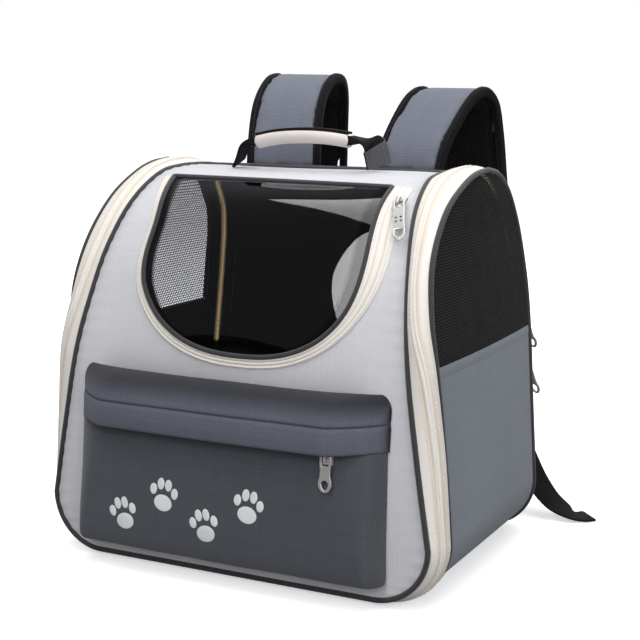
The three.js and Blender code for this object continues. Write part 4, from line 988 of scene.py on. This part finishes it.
# window: domed pane, cord round it, and the zip tape that carries it
def makeWindow(w):
    loop = windowOutline(0)
    flat = np.vstack([loop, np.linspace(loop[-1], loop[0], w["topSteps"])[1:-1]])
    rim = panelPoint(*flat.T, rimAt(flat[:, 1]))
    ahead = np.roll(rim, -1, axis=0)
    rounded = np.stack([blend(rim, ahead, 0.25), blend(rim, ahead, 0.75)], 1).reshape(-1, 3)
    addCord("windowCord", [rounded], w["cord"], darkCord, "window_piping", True)
    half = len(loop) // 2
    right, left = loop[:half], loop[::-1][:half]
    wide = right[:, 0] - left[:, 0] > w["narrowest"]
    right, left = right[wide][:, None], left[wide][:, None]
    t = np.linspace(0, 1, w["paneColumns"])[None]
    flat = blend(left, right, t[..., None])
    x, down = flat[..., 0], flat[..., 1]
    share = np.clip((down - w["top"]) / (w["foot"] - w["top"]), 0, 1)
    dome = w["dome"] * (1 - (2 * t - 1) ** 2) * np.sin(math.pi * share)
    fromEdge = np.minimum(x - left[..., 0], right[..., 0] - x)
    fromEdge = np.minimum(fromEdge, (w["foot"] - down) * w["hemFoot"])
    addSheet("windowPane", panelPoint(x, down, rimAt(down) + dome), w["paneWall"], [clearPane],
             "window_pane", edge=smooth((w["hem"] - fromEdge) / w["hemFade"]))

    inner, outer = windowOutline(w["zipStart"]), windowOutline(w["band"], w["lean"])
    t = np.linspace(0, 1, w["zipColumns"])[None]
    flat = blend(inner[:, None], outer[:, None], t[..., None])
    ridge = np.abs(np.sin(w["ridges"] * math.pi * t)) ** 0.5
    ridge *= smooth(t / w["zipFade"]) * smooth((1 - t) / w["zipFade"])
    lift = blend(rimAt(inner[:, 1:]), w["zipLift"], t) + w["zipRidge"] * ridge
    grid = panelPoint(flat[..., 0], flat[..., 1], lift)
    mark = w["zipMark"] * bell((np.abs(t - 0.5) - 0.5 / w["ridges"]) / w["markWide"])
    piece, area = addSheet("windowZip", grid, w["zipWall"], [creamTape, lining], "window_zip",
                           edge=mark)
    seams = [panelPoint(*flat[:, k].T, lift[:, k] + w["stitchLift"]) for k in w["stitchColumns"]]
    addStitches("windowStitches", seams, stitchPale)


makeWindow(windowShape)
print("window made")

# front pocket, its zipped mouth and the hood over it: rows of depth, height, end trim and flat, top to bottom
pocket = {"half": 128.5, "shift": 0, "clear": 0.5, "wall": 2, "inside": (0, -4, 70), "sag": (0.7, 17, 0.6),
          "endFade": 2.5, "footLevel": 17.5, "footFade": 2.0, "count": 73,
          "rows": [(19, 114.8, 0, 102), (21, 90, 0, 106), (23, 62, 0, 112), (24, 40, 0, 116), (22.5, 23, 0, 118),
                   (15, 18, 1, 118), (0.5, 16.5, 3, 118)]}
pocketMouth = {"half": 118, "shift": 0, "clear": 0.5, "wall": 1.6, "count": 41, "coilRow": 34, "coilLift": 0.6,
               "coilEnd": 8,
               "rows": [(0.5, 140, 0, 98), (8, 137, 0, 98), (15.5, 128, 0, 98), (18.6, 112.4, 0, 98)]}
hood = {"half": 130.3, "shift": -0.8, "power": 1.3, "clear": 0.5, "wall": 1.8, "inside": (0, 4, 120),
        "sag": (0.9, 21, 1.9), "seam": 135, "seamDepth": 0.4, "seamHalf": 1.3, "hemStep": 0.35, "hemRun": 4,
        "frontFrom": 0.4, "endFade": 2.0, "footFade": 60, "topPaintedShade": 0.95, "topRun": 17, "seamMark": 0.8,
        "markHalf": 0.75, "backFade": 40, "stitchFrom": 40, "stitchLift": 0.15, "stitchEnd": 3, "count": 97,
        "rows": [(0.5, 152, 11, 92), (9, 154.5, 8, 92), (20, 152, 3, 92), (28, 146, 0, 92), (31.5, 136, 0, 92),
                 (32.5, 125, 0, 92), (31.5, 115, 0, 92)]}
pocketCloth = {"endSteps": 15, "halfSteps": 30, "levelRun": 40, "crossRun": 2.7, "crossPhase": 1.7}


def pocketGrid(p):
    halfSteps = pocketCloth["halfSteps"]
    angle = np.radians(np.linspace(90, 0, pocketCloth["endSteps"]))
    power = 2 / p.get("power", 2)
    bend, rise = np.sin(angle) ** power, np.maximum(np.cos(angle), 0) ** power
    share = np.concatenate([rise, np.ones(halfSteps)])
    share = np.concatenate([share, share[-2::-1]])
    grid = []
    for depth, z, trim, flat in smoothRun(p["rows"], p["count"]):
        turn = flat - trim + (p["half"] - flat) * bend
        x = np.concatenate([turn, np.linspace(flat - trim, 0, halfSteps + 1)[1:]])
        x = np.concatenate([x, -x[-2::-1]]) + p["shift"]
        out = p["clear"] + (depth - p["clear"]) * share
        grid.append(np.stack([x, panelFront(x, z) - out, np.full_like(x, z)], 1))
    return np.array(grid)


def sagged(p):
    grid, c = pocketGrid(p), pocketCloth
    amount, waves, phase = p["sag"]
    x, z = grid[..., 0], grid[..., 2]
    fold = np.sin(x / waves + phase + z / c["levelRun"])
    fold *= np.sin(x / (c["crossRun"] * waves) + c["crossPhase"] * phase)
    return lifted(grid, amount * fold * np.sin(math.pi * np.linspace(0, 1, p["count"]))[:, None], p["inside"])


def makePocketBody(p):
    grid = sagged(p)
    edge = np.maximum(np.exp(-(p["half"] - np.abs(grid[..., 0])) / p["endFade"]),
                      np.exp(-np.abs(grid[..., 2] - p["footLevel"]) / p["footFade"]))
    piece, area = addSheet("pocketBody", grid, p["wall"], [slateCloth, lining], "pocket_body",
                           p["inside"], edge=edge)
    return grid


def makePocketMouth(p):
    grid = pocketGrid(p)
    piece, area = addSheet("pocketMouth", grid, p["wall"], [blackCloth, lining], "pocket_zip",
                           pocket["inside"])
    row, ends = p["coilRow"], slice(p["coilEnd"], -p["coilEnd"])
    out = gridNormals(grid, pocket["inside"])[0][row]
    line = (grid[row] + grid[row + 1]) / 2 + out * p["coilLift"]
    across = np.gradient(grid, axis=0)[row]
    addCoil("pocketCoil", line[ends], across[ends], out[ends], zipCoil, coilDark)


def makeHood(p):
    grid = sagged(p)
    normal, _ = gridNormals(grid, p["inside"])
    t = np.linspace(0, 1, len(grid))[:, None]
    front, fromSeam = t > p["frontFrom"], grid[..., 2] - p["seam"]
    groove = p["seamDepth"] * bell(fromSeam / p["seamHalf"]) * front
    turnedUp = p["hemStep"] * smooth(-fromSeam / p["hemRun"]) * front
    grid = grid + normal * (turnedUp - groove)[..., None]
    fromEnd, fromSeam = p["half"] - np.abs(grid[..., 0] - p["shift"]), grid[..., 2] - p["seam"]
    # the hood's edge mark: darker at its ends, lower edge, back edge and seam line, and painted shade over its top
    # above the seam
    marks = (np.exp(-fromEnd / p["endFade"]), np.exp(-(1 - t) * p["footFade"]), np.exp(-t * p["backFade"]),
             p["topPaintedShade"] * smooth(fromSeam / p["topRun"]), p["seamMark"] * bell(fromSeam / p["markHalf"]) * front)
    piece, area = addSheet("pocketHood", grid, p["wall"], [flapCloth, lining], "pocket_flap",
                           p["inside"], edge=np.max(np.broadcast_arrays(*marks), axis=0))
    row = p["stitchFrom"] + np.argmin(np.abs(fromSeam[p["stitchFrom"]:, grid.shape[1] // 2]))
    path = (grid[row] + normal[row] * p["stitchLift"])[p["stitchEnd"]:-p["stitchEnd"]]
    addStitches("hoodStitches", [path], stitchDark)


pocketFace = makePocketBody(pocket)
makePocketMouth(pocketMouth)
makeHood(hood)

# paw prints on the pocket: places across and up its face with size and lean, pads with place and half sizes
pawPrints = {"places": [(-78, 47, 15, 14), (-42, 66, 15, -6), (-6, 48, 15, 12), (30, 67, 15, -8)],
             "pads": [(0, -0.34, 0.52, 0.42), (-0.62, 0.26, 0.2, 0.28), (-0.22, 0.6, 0.2, 0.3),
                      (0.22, 0.6, 0.2, 0.3), (0.62, 0.26, 0.2, 0.28)],
             "layers": (0.35, -0.15), "rimShare": 0.3, "rings": 4, "points": 22, "frontRows": 62}


# depth of the pocket's face in front of x and z
def pocketDepth(x, z, frontRows):
    middle = pocketFace.shape[1] // 2
    rows = pocketFace[:frontRows, ::-1]
    rows = rows[np.argsort(rows[:, middle, 2])]
    level = np.interp(z, rows[:, middle, 2], np.arange(len(rows)))
    low = np.clip(level.astype(int), 0, len(rows) - 2)
    a, b = (np.array([np.interp(v, *rows[k + up, :, :2].T) for v, k in zip(x, low)]) for up in (0, 1))
    return blend(a, b, level - low)


def makePaws(p):
    rings, count = p["rings"], p["points"]
    angle = np.linspace(0, fullTurn, count, endpoint=False)
    circle = np.stack([np.cos(angle), np.sin(angle)], 1)
    disc = np.vstack([[(0, 0)]] + [circle * (ring + 1) / rings for ring in range(rings)])
    half, last = len(disc), len(disc) - count
    fade = np.where(np.arange(half) < last, 1, p["rimShare"])
    k, m = np.arange(count), np.roll(np.arange(count), -1)
    cap = np.stack([0 * k, 1 + k, 1 + m], 1).tolist()
    for i in range(1, last, count):
        cap += np.stack([i + k, i + count + k, i + count + m, i + m], 1).tolist()
    shell = cap + [[half + i for i in face[::-1]] for face in cap]
    shell += np.stack([last + k, half + last + k, half + last + m, last + m], 1).tolist()
    points, faces = [], []
    for cx, cz, size, lean in p["places"]:
        c, s = math.cos(math.radians(lean)), math.sin(math.radians(lean))
        for px, pz, rx, rz in p["pads"]:
            u, v = px + rx * disc[:, 0], pz + rz * disc[:, 1]
            x, z = cx + size * (u * c - v * s), cz + size * (u * s + v * c)
            y = pocketDepth(x, z, p["frontRows"])
            faces += [[len(points) + i for i in face] for face in shell]
            for layer in p["layers"]:
                points += np.stack([x, y - layer * fade, z], 1).tolist()
    addPiece("pawPrints", outward(plainMesh("pawPrints", toFrame(points), faces)), [printWhite])


makePaws(pawPrints)
print("pocket made")

# grab handle: split sleeve over a webbing core, webbing down to the top seam that turns on its way
grip = {"radius": 5.9, "flatten": 0.94, "sides": 28, "steps": 61, "core": (4.2, 1.6), "coreRound": 1.2, "coreEnd": 2,
        "endShare": 0.035, "endStart": 0.25, "slit": 0.16, "slitHalf": 0.34,
        "path": [(-43, 121, 321), (-22, 120, 325), (0, 120, 326.5), (22, 120, 326), (43, 121, 323.5)]}
handleWeb = {
    "half": 10, "rise": 1.2, "round": 0.9, "steps": 41, "bundle": (0.5, 3.4), "spreadBy": 0.42, "inGrip": 5,
    "turnRate": 1.5, "acrossGrip": (0.0, 1.0, 0.0),
    "right": {"knee": 16, "foot": (63, 127, 304.3), "across": (0.86, 0.5, 0), "fold": 61},
    "left": {"knee": 8, "foot": (-63, 127, 303.4), "across": (-0.2, 0.98, 0), "fold": 0},
}


def makeGrip(p):
    line = smoothRun(p["path"], p["steps"])
    along = unit(np.gradient(line, axis=0))
    up = unit(np.cross(np.cross(along, (0, 0, 1)), along))
    over = np.cross(along, up)
    angle, ends = np.linspace(0, fullTurn, p["sides"], endpoint=False), np.linspace(0, 1, p["steps"])
    taper = np.minimum(1, np.minimum(ends, 1 - ends) / p["endShare"] + p["endStart"]) ** 0.5
    slit = 1 - p["slit"] * bell(np.minimum(angle, fullTurn - angle) / p["slitHalf"])
    reach = (p["radius"] * taper[:, None] * slit)[..., None]
    turn = angle[:, None]
    rings = line[:, None] + up[:, None] * reach * np.cos(turn) + over[:, None] * reach * np.sin(turn) / p["flatten"]
    addLoft("handleGrip", rings, [gripPlastic], "handle_grip")
    half, rise = p["core"]
    strip = line + up * (p["radius"] - rise / 2)
    inner = slice(p["coreEnd"], -p["coreEnd"])
    section = roundedSection(half, rise, p["coreRound"], 3)
    addLoft("handleCore", bandRings(strip[inner], over[inner], section), [blackWebbing])
    return line, along


def makeHandleWeb(p, line, along):
    share = np.linspace(0, 1, p["steps"])
    spread, turned = smooth(share / p["spreadBy"])[:, None, None], np.minimum(1, p["turnRate"] * share)[:, None]
    section = roundedSection(p["half"], p["rise"], p["round"], 3)
    for side, at, sign, material in (("right", -1, 1, greyWebbing), ("left", 0, -1, blackWebbing)):
        run, end, way = p[side], line[at], along[at] * sign
        bend = splineAt([end - way * p["inGrip"], end + way * run["knee"], run["foot"]], share)
        across = blend(np.array(p["acrossGrip"]), np.array(run["across"]), turned)
        path = evenly(bend, p["steps"])
        rings = blend(*(bandRings(path, across, section * size) for size in (p["bundle"], 1)), spread)
        piece = addLoft(f"handleWeb.{side}", rings, [material, blackWebbing],
                        f"handle_webbing_{side}")
        for face in piece.data.polygons:  # the fold at the sleeve is black
            face.material_index = int(face.center.x * sign < run["fold"] * mm)


makeHandleWeb(handleWeb, *makeGrip(grip))
print("handle made")

# shoulder straps: centre line from the top of the back, over and down behind; the right one sags more
strap = {
    "half": 32.5, "wall": 9, "binding": 5.8, "bindingRise": 4.45, "bindingRound": 2.4, "steps": 121, "start": 0.86,
    "cap": 3.0, "padRound": 3.2, "tuck": 1.6, "lap": 0.6, "stitchIn": 1.1, "stitchRise": 4.4,
    "turns": [12, 9, 5, 5, 6, 7, 8, 9, 9, 9],
    "left": [(57, 192.5, 294.4), (58, 196, 315), (62, 212, 348), (66.5, 240, 367), (70.5, 267, 369), (78, 290, 355),
             (84, 302, 325), (87, 306, 285), (88.5, 304, 240), (90, 297, 195), (92, 286, 156)],
    "right": [(59, 192.5, 294.4), (60, 200, 313), (64, 220, 338), (67.5, 242, 355), (69.5, 264, 359), (72, 280, 349),
              (74.5, 287, 323), (77.5, 290, 285), (82, 292, 240), (87, 291, 195), (92, 286, 156)],
}
padCloth = {"pressure": 4.0, "frames": 20, "voxel": 0.0045, "tension": 12.0, "underside": 0.05}


# swells a closed pad under pressure, each point moving at most cap millimetres
def plumped(mesh, p, cap):
    pad = addObject("padTrial", mesh)
    shell = pad.modifiers.new("shell", "REMESH")
    shell.mode, shell.voxel_size, shell.use_smooth_shade = "VOXEL", p["voxel"], True
    result = pad.data = evaluated(pad)
    pad.modifiers.clear()
    rest = readAll(result.vertices, "co")
    cloth = pad.modifiers.new("cloth", "CLOTH")
    cloth.settings.use_pressure = True
    cloth.settings.uniform_pressure_force = p["pressure"]
    cloth.settings.tension_stiffness = p["tension"]
    cloth.settings.effector_weights.gravity = 0
    cloth.collision_settings.use_collision = False
    for number in range(1, p["frames"] + 1):
        scene.frame_set(number)
    result = evaluated(pad)
    shift = readAll(result.vertices, "co") - rest
    size, limit = np.linalg.norm(shift, axis=1, keepdims=True), cap * mm
    shift *= limit * np.tanh(size / limit) / np.maximum(size, tiny)
    result.vertices.foreach_set("co", (rest + shift).ravel())
    pad.modifiers.clear()
    scene.frame_set(1)
    bpy.data.objects.remove(pad)
    return result


# cut coordinates for a remeshed pad, from its centre line, and the mesh on its underside
def dressPad(mesh, line, along, wide, thick):
    place = readAll(mesh.vertices, "co") / mm + frameMiddle
    nearest = np.array([np.argmin(np.sum((line - p) ** 2, axis=1)) for p in place])
    offset = place - line[nearest]
    u = np.sum(offset * wide[nearest], axis=1)
    v = runLength(line)[nearest] + np.sum(offset * along[nearest], axis=1)
    setCut(mesh, np.stack([u, v], 1) * mm)
    first = [polygon.vertices[0] for polygon in mesh.polygons]
    facing = np.sum(readAll(mesh.polygons, "normal") * thick[nearest[first]], axis=1)
    mesh.polygons.foreach_set("material_index", (facing < padCloth["underside"]).astype(int))


def strapLine(side):
    sign, turns = 1 if side == "right" else -1, strap["turns"]
    line = smoothRun(strap[side], strap["steps"]) * (sign, 1, 1)
    turn = np.radians(np.interp(np.linspace(0, 1, strap["steps"]), np.linspace(0, 1, len(turns)), turns))
    across = np.stack([np.cos(turn), -sign * np.sin(turn), 0 * turn], 1)
    return sign, line, *bandAxes(line, across)


def makeStrap(side, p):
    sign, line, along, wide, thick = strapLine(side)
    inner = p["half"] - p["binding"]
    section = roundedSection(inner + p["tuck"], p["wall"] * p["start"] / 2, p["padRound"], 5)
    pad = plumped(loftMesh("pad", bandRings(line, wide, section)), padCloth, p["cap"])
    dressPad(pad, line, along, wide, thick)
    piece = addPiece(f"strapPad.{side}", pad, [strapCloth, airMesh], f"strap_pad_{side}")
    finer = piece.modifiers.new("finer", "SUBSURF")
    finer.levels = finer.render_levels = 1
    start = inner - p["lap"]
    section = roundedSection((p["half"] - start) / 2, p["bindingRise"], p["bindingRound"], 4, (p["half"] + start) / 2)
    for edge, towards in (("outer", sign), ("inner", -sign)):
        addLoft(f"strapBinding.{edge}.{side}", bandRings(line, wide, section * (towards, 1)), [blackWebbing],
                f"strap_binding_{edge}_{side}")
    paths = [line + wide * way * (inner + p["stitchIn"]) + thick * face * p["stitchRise"]
             for way in (1, -1) for face in (1, -1)]
    addStitches(f"strapStitches.{side}", paths, stitchDark)


for strapSide in ("right", "left"):
    makeStrap(strapSide, strap)
print("straps made")

# buckles, lower webbing and the webbing's free ends
webbing = {"half": 12.5, "wall": 2, "round": 0.8, "gap": 0.4, "buckleHeight": 26, "drop": 14, "buckleEdge": 0.0009,
           "lowerSteps": 61, "lower": [(97, 268, 96), (100, 254, 62), (103, 240, 40), (104, 231.6, 34)]}
tail = {
    "path": [(102, 284, 96), (119, 280, 72), (137, 269, 49), (154, 262, 27), (169, 258, 13), (183, 258, 5.5),
             (191, 262, 1.6), (198, 268.5, 1.3)],
    "across": [(1, 0.1, 0.1), (0.9, 0.4, 0.2), (0.5, 0.8, 0.25), (0.25, 0.93, 0.25), (0, 0.95, 0.25),
               (-0.3, 0.92, 0.15), (-0.6, 0.8, 0), (-0.7, 0.71, 0)],
    "steps": 161,
}
edgeLook = {"segments": 3, "over": 30, "sharp": 40, "flat": 2, "merge": 1e-6}


def roundEdges(piece, width):
    edges = piece.modifiers.new("edges", "BEVEL")
    edges.width, edges.segments = width, edgeLook["segments"]
    edges.limit_method, edges.angle_limit = "ANGLE", math.radians(edgeLook["over"])
    shadeSmooth(piece.data, edgeLook["sharp"])


# a copy of a CAD node with its doubles merged and its edges rounded
def roundedCopy(name, node, width, material):
    shell = bmesh.new()
    shell.from_mesh(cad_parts[node].data)
    bmesh.ops.remove_doubles(shell, verts=shell.verts, dist=edgeLook["merge"])
    flat = math.radians(edgeLook["flat"])
    bmesh.ops.dissolve_limit(shell, angle_limit=flat, verts=shell.verts, edges=shell.edges)
    mesh = bpy.data.meshes.new(name)
    shell.to_mesh(mesh)
    shell.free()
    roundEdges(addPiece(name, mesh, [material], node), width)


def makeWebbing(side, p):
    sign, line, along, wide, _ = strapLine(side)
    way, level = along[-1], wide[-1]
    out = np.cross(way, level)
    bar = line[-1] + way * (p["buckleHeight"] + 4 * p["gap"])
    step = out * (p["wall"] + p["gap"]) / 2 * (1 if out[1] > 0 else -1)
    flip = (sign, 1, 1)
    section = roundedSection(p["half"], p["wall"] / 2, p["round"], 3)
    lower = smoothRun(np.vstack([bar - step, np.array(p["lower"]) * flip]), p["lowerSteps"])
    across = blend(level, np.array((1.0, 0, 0)), np.linspace(0, 1, p["lowerSteps"])[:, None])
    addLoft(f"strapWebbing.{side}", bandRings(lower, across, section), [blackWebbing],
            f"strap_webbing_{side}")
    start = bar + step
    route = np.vstack([start, start + way * p["drop"] + step * 2, np.array(tail["path"]) * flip])
    turns = np.vstack([level, level, np.array(tail["across"]) * (1, sign, sign)])
    points, across = (splineAt(rows, np.linspace(0, 1, tail["steps"])) for rows in (route, turns))
    piece = addLoft(f"strapTail.{side}", bandRings(points, across, section), [blackWebbing],
                    f"strap_tail_{side}")
    roundedCopy(f"strapBuckle.{side}", f"strap_buckle_{side}", p["buckleEdge"], bucklePlastic)


for strapSide in ("right", "left"):
    makeWebbing(strapSide, webbing)
print("webbing made")

# zip sliders, and pulls cut from plate: half breadths along a pull from its head, or from its foot where below zero
zipEnds = ["window_zip", "pocket_zip"] + [f"gusset_zip_{at}_{side}" for at in ("upper", "lower")
                                          for side in ("right", "left")]
pullPlate = {
    "rise": 0.7, "edge": 0.0005, "sliderEdge": 0.0006, "slot": (1.6, 7.7, 2.6), "round": 24,
    "eye": 2.7, "eyeUp": 6.2, "eyePoint": 1.55, "eyeNarrow": 0.3,
    "drop": [(0.0, 3.4), (0.8, 4.3), (1.8, 4.6), (7.5, 4.5), (10.5, 4.0), (-11.5, 4.1), (-8.6, 5.0), (-5.8, 5.3),
             (-3.2, 4.5), (-1.2, 2.8), (-0.2, 1.2)],
    "long": [(0.0, 3.4), (0.8, 4.3), (1.8, 4.6), (7.5, 4.6), (18.0, 4.4), (-12.0, 4.5), (-8.0, 4.9), (-4.5, 4.6),
             (-1.8, 3.2), (-0.3, 1.3)],
    "window": (10.4, 6.6, 3.0), "windowBend": 11, "dot": 0.8, "dotSink": 0.2, "dotRise": 0.12,
    "dots": [(17.0, 1.8), (17.0, -1.8), (20.4, 1.8), (20.4, -1.8)],
}


# axes of a flat pull: along it away from its slider, across it, and out of its face
def pullAxes(node, slider):
    place = readAll(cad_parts[node].data.vertices, "co")
    middle = place.mean(axis=0)
    along, _, out = np.linalg.svd(place - middle, full_matrices=False)[2]
    along = along * np.sign(np.dot(along, middle - np.mean(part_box(slider), axis=0)))
    out = out * np.sign(np.dot(out, middle - toFrame(bagCentre)))
    axes = np.stack([along, np.cross(out, along), out], 1)
    low, high = (place @ axes).min(axis=0), (place @ axes).max(axis=0)
    head = (low + high) / 2
    head[0] = low[0]
    return axes, axes @ head, (high[0] - low[0]) / mm


def plateMesh(name, loops, low, high, axes, start):
    shell = bmesh.new()
    edges = []
    for loop in loops:
        corners = [shell.verts.new(tuple(start + axes @ (np.array([a, b, low]) * mm))) for a, b in loop]
        edges += [shell.edges.new((corners[k - 1], corners[k])) for k in range(len(corners))]
    bmesh.ops.triangle_fill(shell, use_beauty=True, edges=edges)
    raised = bmesh.ops.extrude_face_region(shell, geom=shell.faces[:])["geom"]
    lift = Vector(axes[:, 2] * (high - low) * mm)
    bmesh.ops.translate(shell, verts=[v for v in raised if isinstance(v, bmesh.types.BMVert)], vec=lift)
    bmesh.ops.recalc_face_normals(shell, faces=shell.faces)
    mesh = bpy.data.meshes.new(name)
    shell.to_mesh(mesh)
    shell.free()
    return mesh


def makePull(name, p):
    node, rise = f"{name}_pull", p["rise"]
    axes, start, long = pullAxes(node, f"{name}_slider")
    isWindow = name == "window_zip"
    half = [(a if a >= 0 else long + a, b) for a, b in p["long" if isWindow else "drop"]]
    first, last, wide = p["slot"]
    slot = [(first, wide), (last, wide), (last, -wide), (first, -wide)]
    turn = np.linspace(0, fullTurn, p["round"], endpoint=False)
    if isWindow:
        up, down, wide = p["window"]
        bend = np.linspace(-math.pi / 2, math.pi / 2, p["windowBend"])
        eye = [(long - up, wide), (long - up, -wide)]
        eye += [(long - down + wide * math.cos(a), wide * math.sin(a)) for a in bend]
    else:
        reach = p["eye"] * np.where(np.cos(turn) > 0, p["eyePoint"], 1.0)
        narrow = 1 - p["eyeNarrow"] * np.clip(np.cos(turn), 0, 1)
        eye = list(zip(long - p["eyeUp"] + reach * np.cos(turn), p["eye"] * narrow * np.sin(turn)))
    loops = [half + [(a, -b) for a, b in half[::-1]], slot, eye]
    mesh = plateMesh(f"{name}.pull", loops, -rise, rise, axes, start)
    roundEdges(addPiece(f"{name}.pull", mesh, [zipMetal], node, node), p["edge"])
    if isWindow:
        loops = [list(zip(a + p["dot"] * np.cos(turn), b + p["dot"] * np.sin(turn))) for a, b in p["dots"]]
        mesh = plateMesh(f"{name}.dots", loops, rise - p["dotSink"], rise + p["dotRise"], axes, start)
        addPiece(f"{name}.dots", mesh, [bucklePlastic], body=node)


for zipEnd in zipEnds:
    roundedCopy(f"{zipEnd}.slider", f"{zipEnd}_slider", pullPlate["sliderEdge"], zipMetal)
    makePull(zipEnd, pullPlate)
print("zip ends made")

# plain pale floor, soft studio light: each lamp's place, aim, turn, size and power
studio = {
    "world": (0.95, 0.97, 1.0, 1.0), "worldStrength": 0.14, "floor": (240, 240, 242), "floorShade": (120, 120, 122),
    "glow": 0.5, "farGlow": 1.0, "near": 0.35, "far": 1.0, "floorHalf": 12, "floorLevel": -0.0004,
    "floorRough": 0.9, "floorGloss": 0.1,
    "lamps": [("overhead", (0.27, 0.155, 1.6), (0.27, 0.155, 0), 32.6, (1.4, 1.7), 21.0),
              ("strip", (-0.03, -1.5, 1.55), (0.1, -0.07, 0.25), 0, (0.42, 2.4), 22.0),
              ("front", (1.1, -1.5, 0.8), (0.08, -0.05, 0.1), 0, (1.0, 1.0), 11.0),
              ("right", (1.7, -0.2, 0.7), (0, 0, 0.15), 0, (0.9, 1.2), 8.5),
              ("left", (-1.7, 0.1, 0.9), (0, 0, 0.2), 0, (0.7, 1.0), 6.0),
              ("back", (-0.3, 1.9, 0.9), (0, 0.1, 0.2), 0, (1.0, 1.0), 7.0)],
}
black, white = (0, 0, 0, 1), (1, 1, 1, 1)


# paper seen straight on or through the pane, and not by the light it throws
def seenDirectly(tree):
    path = addNode(tree, "ShaderNodeLightPath", {})
    unreflected = sums(tree, "LESS_THAN", path["Glossy Depth"], 0.5)
    through = sums(tree, "MULTIPLY", path["Is Transmission Ray"], unreflected)
    return sums(tree, "MAXIMUM", path["Is Camera Ray"], through)


def makePaper(p):
    paper, tree, shader, coords = startMaterial("paleFloor")
    seen = seenDirectly(tree)
    away = addNode(tree, "ShaderNodeVectorMath", {0: coords["Object"]}, operation="LENGTH")["Value"]
    fade = addNode(tree, "ShaderNodeMapRange", {"Value": away, "From Min": p["near"], "From Max": p["far"],
                                                "To Min": p["glow"], "To Max": p["farGlow"]},
                   interpolation_type="SMOOTHSTEP")
    glow = mixedColour(tree, sums(tree, "MULTIPLY", fade[0], seen), black, white)
    wire(tree, shader, {"Base Color": mixedColour(tree, seen, linear(p["floorShade"]), linear(p["floor"])),
                        "Roughness": p["floorRough"], "Specular IOR Level": p["floorGloss"],
                        "Emission Color": glow, "Emission Strength": 1.0})
    return paper


def makeStudio(p):
    scene.world = bpy.data.worlds.new("studio")
    scene.world.use_nodes = True
    tree = scene.world.node_tree
    sky = wire(tree, tree.nodes["Background"], {"Color": p["world"], "Strength": p["worldStrength"]})
    backdrop = addNode(tree, "ShaderNodeBackground", {"Color": white})  # the white paper behind the bag
    pick = addNode(tree, "ShaderNodeMixShader", {0: seenDirectly(tree), 1: sky[0], 2: backdrop[0]})
    wire(tree, tree.nodes["World Output"], {"Surface": pick[0]})
    for name, place, aim, turn, size, energy in p["lamps"]:
        data = bpy.data.lights.new(name, "AREA")
        data.shape, data.energy = "RECTANGLE", energy
        data.size, data.size_y = size
        lamp = addObject(name, data)
        lamp.location, lamp.rotation_mode = place, "QUATERNION"
        aimed = (Vector(aim) - Vector(place)).to_track_quat("-Z", "Y")
        lamp.rotation_quaternion = Matrix.Rotation(math.radians(turn), 3, "Z").to_quaternion() @ aimed
    half, level = p["floorHalf"], p["floorLevel"]
    corners = [(-half, -half, level), (half, -half, level), (half, half, level), (-half, half, level)]
    floor = addObject("floor", plainMesh("floor", corners, [(0, 1, 2, 3)]))
    floor.data.materials.append(makePaper(p))
    scene.view_settings.view_transform = "Standard"


makeStudio(studio)
print("studio lit")
